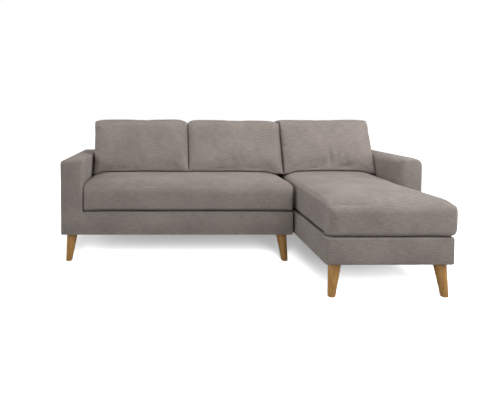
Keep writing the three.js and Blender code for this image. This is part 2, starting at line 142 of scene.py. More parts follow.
def set_up(node: Node, settings: Settings | None = None, links: Links | None = None) -> None:
    """Sets a node's sockets and properties, and links its inputs.

    Args:
        node: The node.
        settings: Values by input name or number, or by property name.
        links: What feeds each input: a socket, or a node for its first output in use.
    """
    settings = settings or {}
    properties = [key for key in settings if isinstance(key, str) and hasattr(node, key)]
    for key in properties:
        setattr(node, key, settings[key])
    for key, value in settings.items():
        if key not in properties:
            node.inputs[key].default_value = value
    for key, source in (links or {}).items():
        if isinstance(source, Node):
            source = next(socket for socket in source.outputs if socket.enabled)
        node.id_data.links.new(source, node.inputs[key])


def add_node(
    tree: NodeTree,
    kind: str,
    settings: Settings | None = None,
    links: Links | None = None,
) -> Node:
    """Adds a node with its settings and links.

    Args:
        tree: The node tree.
        kind: The node's type without its prefix, such as "Math".
        settings: Values by input name or number, or by property name.
        links: What feeds each input.

    Returns:
        The new node.
    """
    node = tree.nodes.new(f"ShaderNode{kind}")
    set_up(node, settings, links)
    return node


def wave_scale(period: float) -> float:
    """A wave texture's scale for a period, which is a tenth of pi at scale 1."""
    return math.pi / 10 / period


def two_colours(dark: str, light: str) -> Settings:
    """A mix node's settings for a colour between two sRGB hex values."""
    return {"data_type": "RGBA", 6: linear(dark), 7: linear(light)}


def new_material(name: str) -> tuple[Material, NodeTree, Node]:
    """Makes an empty material with its shader and output joined.

    Args:
        name: The material's name.

    Returns:
        The material, its tree and its Principled shader.
    """
    material = bpy.data.materials.new(name)
    material.use_nodes = True
    tree = material.node_tree
    tree.nodes.clear()
    shader = add_node(tree, "BsdfPrincipled")
    add_node(tree, "OutputMaterial", links={"Surface": shader})
    return material, tree, shader


# Finishes


@dataclass(frozen=True)
class WovenLinenBlend:
    """Heathered linen-look upholstery, plain woven from slubbed yarn.

    The eye gets a matt warm grey with short lighter and darker threads both ways, and a soft
    sheen where the cloth turns away.
    """

    name: str
    dark: str = "#887e78"
    light: str = "#b5aba4"
    thread: float = 1.6 * MM
    slub_length: float = 42 * MM
    slub_width: float = 5 * MM
    mottle: float = 180 * MM
    sheen: float = 0.12
    weft_slubs: float = 0.28
    patches: float = 0.3
    threads: float = 0.2
    contrast: tuple[float, float] = (0.36, 0.66)
    seam_line: tuple[float, float] = mm(0.4, 1.8)
    seam_shade: float = 0.94
    seam_width: float = 5 * MM

    def make(self) -> Material:
        """Builds the cloth on the pieces' own cloth map.

        Returns:
            The material.
        """
        material, tree, shader = new_material(self.name)
        cloth = {"Vector": add_node(tree, "UVMap", {"uv_map": CLOTH_MAP})}
        yarn = {"Scale": wave_scale(2 * self.thread)}
        warp = add_node(tree, "TexWave", {"bands_direction": "X", **yarn}, cloth)
        weft = add_node(tree, "TexWave", {"bands_direction": "Y", **yarn}, cloth)
        over = add_node(tree, "TexChecker", {"Scale": 1 / self.thread}, cloth)
        threads = add_node(tree, "Mix", links={0: over.outputs["Fac"], 2: warp.outputs["Fac"],
                                               3: weft.outputs["Fac"]})
        streaks = []
        for size in ((self.slub_length, self.slub_width), (self.slub_width, self.slub_length)):
            laid = add_node(tree, "Mapping", {"Scale": (1 / size[0], 1 / size[1], 1.0)}, cloth)
            streaks.append(add_node(tree, "TexNoise",
                                    {"Scale": 1.0, "Detail": 3.0, "Roughness": 0.6},
                                    {"Vector": laid}))
        slubs = add_node(tree, "Mix", {0: self.weft_slubs}, {2: streaks[0], 3: streaks[1]})
        patches = add_node(tree, "TexNoise",
                           {"Scale": 1 / self.mottle, "Detail": 2.0, "Roughness": 0.5}, cloth)
        tone = add_node(tree, "Mix", {0: self.patches}, {2: slubs, 3: patches})
        shaded = add_node(tree, "Mix", {0: self.threads}, {2: tone, 3: threads})
        least, most = self.contrast
        spread = add_node(tree, "MapRange", {"From Min": least, "From Max": most},
                          {"Value": shaded})
        colour = add_node(tree, "Mix", two_colours(self.dark, self.light), {0: spread})
        # Along a seam the two cloths turn in, and the colour is darkened along a thin line there as
        # painted shade for the shadow the turned-in cloth casts
        seam = add_node(tree, "Attribute", {"attribute_name": SEAM})
        off_seam = add_node(tree, "Math", {"operation": "ABSOLUTE"}, {0: seam.outputs["Fac"]})
        near, far = self.seam_line
        line = add_node(tree, "MapRange",
                        {"From Min": near, "From Max": far, "To Min": self.seam_shade},
                        {"Value": off_seam})
        seam_shaded = add_node(tree, "VectorMath", {"operation": "SCALE"}, {0: colour, "Scale": line})
        valley = add_node(tree, "MapRange",
                          {"interpolation_type": "SMOOTHSTEP", "From Max": self.seam_width},
                          {"Value": off_seam})
        weave_bump = add_node(tree, "Bump", {"Strength": 0.5, "Distance": 0.4 * MM},
                              {"Height": threads})
        slub_bump = add_node(tree, "Bump", {"Strength": 0.6, "Distance": 1.2 * MM},
                             {"Height": slubs, "Normal": weave_bump})
        seam_bump = add_node(tree, "Bump", {"Strength": 0.4, "Distance": 0.6 * MM},
                             {"Height": valley, "Normal": slub_bump})
        rough = add_node(tree, "MapRange", {"To Min": 0.96, "To Max": 0.84}, {"Value": threads})
        set_up(shader,
               {"Sheen Weight": self.sheen, "Sheen Roughness": 0.5, "Specular IOR Level": 0.2},
               {"Base Color": seam_shaded, "Roughness": rough, "Normal": seam_bump})
        return material


@dataclass(frozen=True)
class LacqueredBeech:
    """Beech turned on a lathe, stained honey brown under satin lacquer.

    The eye gets fine upright grain with short darker rays and a soft highlight down one side.
    """

    name: str = "honey_stained_beech"
    dark: str = "#b37d3a"
    light: str = "#ecb568"
    grain: float = 3.2 * MM
    grain_length: float = 120 * MM
    ray: float = 1.3 * MM
    ray_length: float = 10.4 * MM

    def make(self) -> Material:
        """Builds the wood on the object's own place, with the grain upright.

        Returns:
            The material.
        """
        material, tree, shader = new_material(self.name)
        place = {"Vector": add_node(tree, "TexCoord").outputs["Object"]}
        grown, rayed = (
            {"Vector": add_node(tree, "Mapping", {"Scale": (1 / width, 1 / width, 1 / length)},
                                place)}
            for width, length in ((self.grain, self.grain_length), (self.ray, self.ray_length))
        )
        grain = add_node(tree, "TexNoise",
                         {"Scale": 1.0, "Detail": 4.0, "Roughness": 0.55, "Distortion": 0.4}, grown)
        rays = add_node(tree, "TexVoronoi", {"Scale": 1.0}, rayed)
        flecks = add_node(tree, "MapRange",
                          {"From Min": 0.12, "From Max": 0.32, "To Min": 0.25, "To Max": 0.0},
                          {"Value": rays})
        tone = add_node(tree, "MapRange", {"From Min": 0.3, "From Max": 0.7}, {"Value": grain})
        lessened = add_node(tree, "Math", {"operation": "SUBTRACT", "use_clamp": True},
                            {0: tone, 1: flecks})
        colour = add_node(tree, "Mix", two_colours(self.dark, self.light), {0: lessened})
        rough = add_node(tree, "MapRange", {"To Min": 0.46, "To Max": 0.36}, {"Value": grain})
        bump = add_node(tree, "Bump", {"Strength": 0.25, "Distance": 0.3 * MM}, {"Height": grain})
        set_up(shader, {"Coat Weight": 0.25, "Coat Roughness": 0.25},
               {"Base Color": colour, "Roughness": rough, "Normal": bump})
        return material


@dataclass(frozen=True)
class SawnPine:
    """Planed pine for rails and boards, with its grain along one axis.

    The eye gets pale boards with wide soft growth rings and a dry sawn surface.
    """

    name: str
    along: Axis
    dark: str = "#b98d5a"
    light: str = "#dcbd8d"
    ring: float = 9 * MM
    ring_length: float = 420 * MM
    folds: float = 5.0

    def make(self) -> Material:
        """Builds the wood on the object's own place.

        Returns:
            The material.
        """
        material, tree, shader = new_material(self.name)
        scale = [1 / self.ring] * 3
        scale[self.along.value] = 1 / self.ring_length
        place = {"Vector": add_node(tree, "TexCoord").outputs["Object"]}
        grown = {"Vector": add_node(tree, "Mapping", {"Scale": tuple(scale)}, place)}
        rings = add_node(tree, "TexNoise", {"Scale": 0.5, "Detail": 3.0, "Distortion": 0.8}, grown)
        bands = add_node(tree, "Math", {"operation": "MULTIPLY", 1: self.folds}, {0: rings})
        folded = add_node(tree, "Math", {"operation": "PINGPONG", 1: 1.0}, {0: bands})
        fibre = add_node(tree, "TexNoise", {"Scale": 7.0, "Detail": 2.0}, grown)
        tone = add_node(tree, "Mix", {0: 0.3}, {2: folded, 3: fibre})
        colour = add_node(tree, "Mix", two_colours(self.dark, self.light), {0: tone})
        rough = add_node(tree, "MapRange", {"To Min": 0.62, "To Max": 0.8}, {"Value": fibre})
        bump = add_node(tree, "Bump", {"Strength": 0.35, "Distance": 0.5 * MM}, {"Height": tone})
        set_up(shader, links={"Base Color": colour, "Roughness": rough, "Normal": bump})
        return material


@dataclass(frozen=True)
class ZincPlatedSteel:
    """Stamped mild steel with bright zinc plating.

    The eye gets a cool grey metal with faint cloudy crystals and rubbed spots.
    """

    name: str = "zinc_plated_steel"
    dark: str = "#9a9ea2"
    light: str = "#c9ccd0"
    crystal: float = 6 * MM

    def make(self) -> Material:
        """Builds the metal on the object's own place.

        Returns:
            The material.
        """
        material, tree, shader = new_material(self.name)
        place = {"Vector": add_node(tree, "TexCoord").outputs["Object"]}
        crystals = add_node(tree, "TexVoronoi", {"Scale": 1 / self.crystal}, place)
        clouds = add_node(tree, "TexNoise", {"Scale": 0.4 / self.crystal, "Detail": 4.0}, place)
        tone = add_node(tree, "Mix", {0: 0.5}, {2: crystals, 3: clouds})
        colour = add_node(tree, "Mix", two_colours(self.dark, self.light), {0: tone})
        rough = add_node(tree, "MapRange", {"To Min": 0.24, "To Max": 0.46}, {"Value": clouds})
        set_up(shader, {"Metallic": 1.0}, {"Base Color": colour, "Roughness": rough})
        return material


@dataclass(frozen=True)
class BondedCloth:
    """Thin polypropylene cloth pressed together from loose fibres.

    The eye gets a flat dark sheet with a faint dimpled bond pattern and stray fibres.
    """

    name: str
    dark: str
    light: str
    dimple: float = 3 * MM
    fibre: float = 1.2 * MM

    def make(self) -> Material:
        """Builds the cloth on the object's own place.

        Returns:
            The material.
        """
        material, tree, shader = new_material(self.name)
        place = {"Vector": add_node(tree, "TexCoord").outputs["Object"]}
        dimples = add_node(tree, "TexVoronoi", {"Scale": 1 / self.dimple, "Randomness": 0.15},
                           place)
        fibres = add_node(tree, "TexNoise",
                          {"Scale": 0.2 / self.fibre, "Detail": 5.0, "Distortion": 2.0}, place)
        tone = add_node(tree, "Mix", {0: 0.6}, {2: dimples, 3: fibres})
        colour = add_node(tree, "Mix", two_colours(self.dark, self.light), {0: tone})
        rough = add_node(tree, "MapRange", {"To Min": 0.98, "To Max": 0.86}, {"Value": fibres})
        bump = add_node(tree, "Bump", {"Strength": 0.4, "Distance": 0.4 * MM}, {"Height": tone})
        set_up(shader, links={"Base Color": colour, "Roughness": rough, "Normal": bump})
        return material


@dataclass(frozen=True)
class ElasticStrap:
    """Rubber-cored upholstery webbing, woven in ribs across its length.

    The eye gets a near-black strap with close cross ribs and a lighter stripe by each edge.
    """

    name: str = "ribbed_elastic_webbing"
    dark: str = "#1f1e1d"
    light: str = "#3b3937"
    stripe: str = "#8a8172"
    rib: float = 2.5 * MM
    stripe_place: float = 30 * MM
    stripe_half: float = 1.5 * MM

    def make(self) -> Material:
        """Builds the strap on its cloth map, which runs along and across it.

        Returns:
            The material.
        """
        material, tree, shader = new_material(self.name)
        cloth = add_node(tree, "UVMap", {"uv_map": CLOTH_MAP})
        ribs = add_node(tree, "TexWave", {"bands_direction": "X", "Scale": wave_scale(self.rib)},
                        {"Vector": cloth}).outputs["Fac"]
        across = add_node(tree, "SeparateXYZ", links={0: cloth}).outputs["Y"]
        off_middle = add_node(tree, "Math", {"operation": "ABSOLUTE"}, {0: across})
        at_stripe = add_node(tree, "Math", {"operation": "COMPARE", 1: self.stripe_place,
                                            2: self.stripe_half}, {0: off_middle})
        woven = add_node(tree, "Mix", two_colours(self.dark, self.light), {0: ribs})
        colour = add_node(tree, "Mix", {"data_type": "RGBA", 7: linear(self.stripe)},
                          {0: at_stripe, 6: woven})
        bump = add_node(tree, "Bump", {"Strength": 0.6, "Distance": 0.4 * MM}, {"Height": ribs})
        set_up(shader, {"Roughness": 0.8}, {"Base Color": colour, "Normal": bump})
        return material


@dataclass(frozen=True)
class MouldedNylon:
    """Injection-moulded nylon for the feet's glides.

    The eye gets a dull dark plastic with a fine spark-eroded grain.
    """

    name: str = "moulded_nylon"
    colour: str = "#3a342e"
    grain: float = 0.8 * MM

    def make(self) -> Material:
        """Builds the plastic on the object's own place.

        Returns:
            The material.
        """
        material, tree, shader = new_material(self.name)
        place = {"Vector": add_node(tree, "TexCoord").outputs["Object"]}
        grain = add_node(tree, "TexNoise", {"Scale": 1 / self.grain}, place)
        bump = add_node(tree, "Bump", {"Strength": 0.3, "Distance": 0.1 * MM}, {"Height": grain})
        rough = add_node(tree, "MapRange", {"To Min": 0.5, "To Max": 0.65}, {"Value": grain})
        set_up(shader, {"Base Color": linear(self.colour)}, {"Roughness": rough, "Normal": bump})
        return material


def timbers() -> dict[Axis, Material]:
    """The frame's timber, with its grain along each axis."""
    return {axis: SawnPine(f"sawn_pine_along_{axis.name.lower()}", axis).make() for axis in Axis}


@dataclass(frozen=True)
class Finishes:
    """Every finish of the sofa, each made once."""

    upholstery: Material = field(default_factory=WovenLinenBlend("linen_blend_upholstery").make)
    cushion_cloth: Material = field(default_factory=WovenLinenBlend("linen_blend_cushions").make)
    leg_wood: Material = field(default_factory=LacqueredBeech().make)
    zinc: Material = field(default_factory=ZincPlatedSteel().make)
    dust_cloth: Material = field(
        default_factory=BondedCloth("bonded_dust_cloth", "#101011", "#2a2a2b").make)
    deck_cloth: Material = field(
        default_factory=BondedCloth("bonded_deck_cloth", "#4e4945", "#77706a").make)
    elastic: Material = field(default_factory=ElasticStrap().make)
    nylon: Material = field(default_factory=MouldedNylon().make)
    timber: dict[Axis, Material] = field(default_factory=timbers)


# Mesh helpers


def block(low: Vector, high: Vector) -> BMesh:
    """Starts a mesh as a block between two corners.

    Args:
        low: The lowest corner.
        high: The highest corner.

    Returns:
        The new bmesh.
    """
    bm = bmesh.new()
    bmesh.ops.create_cube(bm, size=1.0)
    bmesh.ops.scale(bm, vec=high - low, verts=bm.verts)
    bmesh.ops.translate(bm, vec=(low + high) / 2, verts=bm.verts)
    return bm


def use_up(bm: BMesh, name: str) -> Mesh:
    """Turns a bmesh into a mesh.

    Args:
        bm: The bmesh, which is used up.
        name: The mesh's name.

    Returns:
        The mesh.
    """
    mesh = bpy.data.meshes.new(name)
    bm.to_mesh(mesh)
    bm.free()
    return mesh


def add_object(name: str, data: ID) -> Object:
    """Makes an object and links it to the scene."""
    made = bpy.data.objects.new(name, data)
    bpy.context.scene.collection.objects.link(made)
    return made


def only(made: Iterable[BMVert | BMEdge | BMFace], kind: type) -> list[BMVert | BMEdge | BMFace]:
    """The corners, edges or faces among what an operator made."""
    return [part for part in made if isinstance(part, kind)]


def facing(bm: BMesh, direction: Vector) -> list[BMFace]:
    """The faces whose normal points along a direction."""
    bm.normal_update()
    return [face for face in bm.faces if face.normal.dot(direction) > ALONG]


def open_face(bm: BMesh, direction: Vector, flange: float) -> None:
    """Opens the face that points along a direction, and leaves a flange round the opening.

    Args:
        bm: The mesh.
        direction: Where the face points.
        flange: The flange's width, or 0 for none.
    """
    found = facing(bm, direction)
    if flange > 0:
        bmesh.ops.inset_region(bm, faces=found, thickness=flange, use_even_offset=True)
    bmesh.ops.delete(bm, geom=found, context="FACES")


def sharp_edges(bm: BMesh, angle: float = math.radians(40)) -> list[BMEdge]:
    """The convex edges that turn by more than an angle."""
    bm.normal_update()
    return [
        edge for edge in bm.edges
        if len(edge.link_faces) == 2 and edge.is_convex and edge.calc_face_angle(0.0) > angle
    ]


def round_edges(bm: BMesh, edges: Iterable[BMEdge], radius: float, segments: int) -> None:
    """Rounds edges to a radius.

    Args:
        bm: The mesh.
        edges: The edges to round.
        radius: The radius in metres.
        segments: Faces round a quarter turn.
    """
    bmesh.ops.bevel(
        bm, geom=list(edges), offset=radius, offset_type="OFFSET", segments=segments,
        profile=0.5, affect="EDGES", clamp_overlap=True, material=-1,
    )


def cut_at(bm: BMesh, place: Sequence[float], way: Sequence[float]) -> None:
    """Cuts new edges into a mesh where a plane crosses it."""
    bmesh.ops.bisect_plane(bm, geom=bm.verts[:] + bm.edges[:] + bm.faces[:], dist=MERGE,
                           plane_co=place, plane_no=way)


def slice_evenly(bm: BMesh, pitch: float, axes: Sequence[Axis] = tuple(Axis)) -> None:
    """Cuts a mesh into strips no wider than a pitch along each axis.

    Args:
        bm: The mesh.
        pitch: The widest strip.
        axes: The axes to cut along.
    """
    for axis in axes:
        along = [vertex.co[axis.value] for vertex in bm.verts]
        low, high = min(along), max(along)
        count = max(1, math.ceil((high - low) / pitch))
        for i in range(1, count):
            cut_at(bm, axis.vector * (low + (high - low) * i / count), axis.vector)


def in_order(bm: BMesh) -> BMesh:
    """Makes a mesh again with its corners and faces in order of place.

    The operators' own order changes from run to run, and the cloth simulation would pass that
    on to a cushion's shape.

    Args:
        bm: The mesh, which is used up.

    Returns:
        The same mesh in order.
    """
    corners = sorted(bm.verts, key=lambda vertex: [round(part / MERGE) for part in vertex.co])
    ordered = bmesh.new()
    made = {vertex: ordered.verts.new(vertex.co) for vertex in corners}
    ordered.verts.index_update()
    rings = []
    for face in bm.faces:
        ring = [made[vertex] for vertex in face.verts]
        first = min(range(len(ring)), key=lambda i: ring[i].index)
        rings.append(ring[first:] + ring[:first])
    for ring in sorted(rings, key=lambda ring: [vertex.index for vertex in ring]):
        ordered.faces.new(ring)
    bm.free()
    return ordered


def lay_cloth(bm: BMesh, offset: float) -> None:
    """Lays the cloth map over a mesh, in metres, panel by panel.

    The map comes from each vertex's place before stuffing where the mesh holds one.

    Args:
        bm: The mesh.
        offset: Where on the roll this piece was cut, so that no two pieces match.
    """
    place = bm.verts.layers.float_vector.get(PLACE)
    layer = bm.loops.layers.uv.get(CLOTH_MAP) or bm.loops.layers.uv.new(CLOTH_MAP)
    for face in bm.faces:
        corners = [loop.vert[place] if place else loop.vert.co for loop in face.loops]
        normal = geometry.normal(corners)
        across = max(range(3), key=lambda i: abs(normal[i]))
        u, v = [(1, 2), (0, 2), (0, 1)][across]
        for loop, corner in zip(face.loops, corners):
            loop[layer].uv = (corner[u] + offset, corner[v] + CUT_SLANT * offset)


def smooth_share(value: float | np.ndarray) -> float | np.ndarray:
    """Turns 0 to 1 into 0 to 1 with level ends."""
    held = np.clip(value, 0.0, 1.0)
    return held * held * (3 - 2 * held)


def swell(share: float) -> float:
    """One at the middle of a face and nothing at its edges, with a nearly flat middle."""
    return max(0.0, 1 - abs(share) ** 4)


def nearest_line(point: Vector, lines: Iterable[tuple[Vector, Vector]]) -> float:
    """The distance from a point to the nearest of some straight lines.

    Args:
        point: The point.
        lines: The lines by their ends.

    Returns:
        The distance in metres.
    """
    nearest = math.inf
    for start, end in lines:
        along, share = geometry.intersect_point_line(point, start, end)
        closest = start if share < 0 else end if share > 1 else along
        nearest = min(nearest, (point - closest).length)
    return nearest


def finish_piece(
    name: str,
    bm: BMesh,
    body: str,
    materials: Sequence[Material],
    replaced: Sequence[str] = (),
) -> Object:
    """Turns a bmesh into a smooth shaded piece that rides on a body.

    Args:
        name: The piece's name.
        bm: The mesh, which is used up.
        body: The CAD body it rides on.
        materials: Its materials, in the order of its faces' material numbers.
        replaced: The CAD nodes it stands for.

    Returns:
        The piece.
    """
    if not bm.verts.layers.float.get(SEAM):
        seam = bm.verts.layers.float.new(SEAM)
        for vertex in bm.verts:
            vertex[seam] = FAR_FROM_SEAM
    mesh = use_up(bm, name)
    mesh.shade_smooth()
    mesh.set_sharp_from_angle(angle=SMOOTH_BELOW)
    for material in materials:
        mesh.materials.append(material)
    piece = add_object(name, mesh)
    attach(piece, body)
    if replaced:
        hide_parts(*replaced)
    return piece


def thicken(piece: Object, thickness: float) -> None:
    """Gives an open skin a thickness towards its inside.

    Args:
        piece: The skin.
        thickness: Its thickness in metres.
    """
    wall = piece.modifiers.new("wall", "SOLIDIFY")
    wall.thickness = thickness
    wall.offset = -1.0
    wall.use_even_offset = True


# Padded skins over the frame


@dataclass
class PaddedSkin:
    """Cloth over wadding, pulled tight over a frame: a skin with soft edges and plump faces."""

    name: str
    body: str
    replaced: tuple[str, ...]
    radius: float = 14 * MM
    segments: int = 4
    pitch: float = 28 * MM
    plump: float = 3 * MM
    reach: float = 70 * MM
    thickness: float = 3.5 * MM
    offset: float = 0.0
    grow: float = 0.0
    ripple: float = 0.35
    ripples: float = 6.0
    creases: list[tuple[Vector, Vector]] = field(init=False, default_factory=list)

    def edge_radius(self, middle: Vector, way: Vector) -> float:
        """The radius that the edge with this middle and direction is padded out to."""
        return self.radius

    def freedom(self, point: Vector, normal: Vector) -> float:
        """How freely the padding swells here: not at all underneath, wholly elsewhere."""
        return 0.0 if normal.z < -TOWARDS else 1.0

    def seam_distance(self, point: Vector) -> float:
        """The signed distance to the nearest seam, in metres."""
        return FAR_FROM_SEAM

    def radius_of(self, edge: BMEdge) -> float:
        """The radius of one edge of the mesh."""
        first, second = (vertex.co for vertex in edge.verts)
        return self.edge_radius((first + second) / 2, (second - first).normalized())

    def cover(self, bm: BMesh, cloth: Material) -> Object:
        """Rounds, divides and plumps a skin, and makes it a piece.

        Args:
            bm: The skin with sharp edges.
            cloth: Its material.

        Returns:
            The piece.
        """
        bmesh.ops.remove_doubles(bm, verts=bm.verts, dist=MERGE)
        bmesh.ops.recalc_face_normals(bm, faces=bm.faces)
        edges = sharp_edges(bm)
        self.creases = [(e.verts[0].co.copy(), e.verts[1].co.copy()) for e in edges]
        for radius in sorted({self.radius_of(edge) for edge in edges}, reverse=True):
            alike = [edge for edge in sharp_edges(bm) if self.radius_of(edge) == radius]
            round_edges(bm, alike, radius, self.segments + int(radius > 2 * self.radius))
        slice_evenly(bm, self.pitch)
        bmesh.ops.remove_doubles(bm, verts=bm.verts, dist=MERGE)
        bm.normal_update()
        lay_cloth(bm, self.offset)
        seam = bm.verts.layers.float.new(SEAM)
        for vertex in bm.verts:
            vertex[seam] = self.seam_distance(vertex.co)
            from_crease = nearest_line(vertex.co, self.creases)
            share = smooth_share((from_crease - self.radius) / self.reach)
            share *= self.freedom(vertex.co, vertex.normal)
            uneven = noise.noise(vertex.co * self.ripples + Vector((self.offset, 0, 0)))
            vertex.co += vertex.normal * self.plump * share * (1 + uneven * self.ripple)
        piece = finish_piece(self.name, bm, self.body, [cloth], self.replaced)
        thicken(piece, self.thickness)
        log.info("made %s", self.name)
        return piece


@dataclass
class FacedArm(PaddedSkin):
    """What both arms share: a facing with a seam round it, and a firmer side beside the seat."""

    flange: float = 16 * MM
    inner_radius: float = 34 * MM
    seat_swell: float = 0.25
    seat_fade: tuple[float, float] = mm(50, 90)
    outline: list[tuple[float, float]] = field(init=False, default_factory=list)
    front: float = field(init=False, default=0.0)
    seat_top: float = field(init=False, default=0.0)

    def seam_distance(self, point: Vector) -> float:
        """The signed distance to the seam round the facing.

        Args:
            point: A point of the skin.

        Returns:
            The distance in metres, above zero on the facing and below zero behind it.
        """
        corners = [Vector((x, 0, z)) for x, z in self.outline]
        flat = Vector((point.x, 0, point.z))
        return nearest_line(flat, zip(corners, corners[1:])) - (point.y - self.front)

    def beside_seat(self, height: float) -> float:
        """How freely the inner side swells at a height: a little, above the seat cushion."""
        below, fade = self.seat_fade
        return self.seat_swell * smooth_share((height - self.seat_top + below) / fade)


@dataclass
class ArmAndFront(FacedArm):
    """The left arm and the sofa section's front, covered by one facing cloth.

    The facing runs on from the arm to the base with no joint, turns round the base's free end
    and lies along the gap to the chaise.
    """

    top_radius: float = 22 * MM
    facing_radius: float = 16 * MM
    rise: float = 4 * MM
    free_end: float = field(init=False, default=0.0)
    foot: float = field(init=False, default=0.0)
    inner: float = field(init=False, default=0.0)
    deck: float = field(init=False, default=0.0)

    def edge_radius(self, middle: Vector, way: Vector) -> float:
        """Large radii on the arm's inner side, and middling ones on its top and its facing.

        Args:
            middle: The edge's middle.
            way: Its direction.

        Returns:
            The radius in metres.
        """
        if middle.z > self.deck and abs(middle.x - self.inner) < MERGE:
            return self.inner_radius
        if abs(way.y) > ALONG and middle.z > self.deck + 2 * self.top_radius:
            return self.top_radius
        on_facing = middle.y < self.front + MERGE and middle.x < self.inner + MERGE
        return self.facing_radius if on_facing and middle.z > self.foot + MERGE else self.radius

    def freedom(self, point: Vector, normal: Vector) -> float:
        """Nothing below and along the gap between the sections, and less beside the seat.

        Args:
            point: A point of the skin.
            normal: Its normal.

        Returns:
            The share of the full swell.
        """
        if normal.z < -TOWARDS or normal.x > TOWARDS and point.x > self.free_end - self.grow:
            return 0.0
        return self.beside_seat(point.z) if normal.x > TOWARDS else 1.0

    def build(self, finishes: Finishes) -> Object:
        """Makes the skin from its facing backwards.

        Args:
            finishes: The sofa's finishes.

        Returns:
            The piece.
        """
        arm_low, arm_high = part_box("left_arm_cover")
        _, border_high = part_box("sofa_front_border")
        _, cloth_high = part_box("sofa_end_cloth")
        self.front, self.free_end = arm_low.y, border_high.x
        self.seat_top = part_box("bench_cushion")[1].z
        left, inner, right = arm_low.x - self.grow, arm_high.x, border_high.x
        foot, deck, top = arm_low.z, border_high.z, arm_high.z + self.rise
        self.foot, self.inner, self.deck = foot, inner, deck
        self.outline = [(left, foot), (left, top), (inner, top), (inner, deck)]
        bm = bmesh.new()
        at = {
            (x, z): bm.verts.new((x, self.front, z))
            for x, z in [(left, foot), (inner, foot), (right, foot), (left, deck), (inner, deck),
                         (right, deck), (left, top), (inner, top)]
        }
        for x0, x1, z0, z1 in ((left, inner, foot, deck), (inner, right, foot, deck),
                               (left, inner, deck, top)):
            bm.faces.new([at[x0, z0], at[x1, z0], at[x1, z1], at[x0, z1]])
        rim = [edge for edge in bm.edges if edge.is_boundary]
        ring = self.draw_out(bm, rim, Vector((0, self.flange, 0)))
        floor_side = [edge for edge in ring if all(v.co.z < foot + MERGE for v in edge.verts)]
        walls = [edge for edge in ring if edge not in floor_side
                 and all(v.co.x < inner + MERGE for v in edge.verts)]
        rear = self.draw_out(bm, walls, Vector((0, arm_high.y - self.front - self.flange, 0)))
        self.close_rear(bm, rear, inner, foot)
        end = [edge for edge in ring if all(v.co.x > right - MERGE for v in edge.verts)]
        self.draw_out(bm, end, Vector((0, cloth_high.y - self.front - self.flange, 0)))
        below = [
            edge for edge in bm.edges
            if edge.is_boundary and all(v.co.z < foot + MERGE for v in edge.verts)
            and all(v.co.y > self.front + self.flange - MERGE for v in edge.verts)
            and abs(edge.verts[0].co.x - edge.verts[1].co.x) < MERGE
        ]
        for edge in below:
            inward = 1.0 if edge.verts[0].co.x < inner else -1.0
            self.draw_out(bm, [edge], Vector((inward * self.flange, 0, 0)))
        return self.cover(bm, finishes.upholstery)

    def draw_out(self, bm: BMesh, edges: Iterable[BMEdge], by: Vector) -> list[BMEdge]:
        """Extrudes edges by a vector.

        Args:
            bm: The mesh.
            edges: The edges to draw out.
            by: How far and which way.

        Returns:
            The new edges.
        """
        made = bmesh.ops.extrude_edge_only(bm, edges=list(edges))["geom"]
        bmesh.ops.translate(bm, vec=by, verts=only(made, BMVert))
        return only(made, BMEdge)

    def close_rear(self, bm: BMesh, edges: Iterable[BMEdge], inner: float, foot: float) -> None:
        """Closes the arm's rear end, down to its underside.

        Args:
            bm: The mesh.
            edges: The arm's rear edges.
            inner: The arm's inner face.
            foot: The underside's height.
        """
        corners = {v for edge in edges for v in edge.verts}
        by_place = sorted(corners, key=lambda v: (v.co.x > inner - MERGE, v.co.z))
        outer = [v for v in by_place if v.co.x < inner - MERGE]
        inside = [v for v in by_place if v.co.x > inner - MERGE]
        low = bm.verts.new((inner, outer[0].co.y, foot))
        inside.insert(0, low)
        for i in range(len(outer) - 1):
            bm.faces.new([outer[i], outer[i + 1], inside[i + 1], inside[i]])


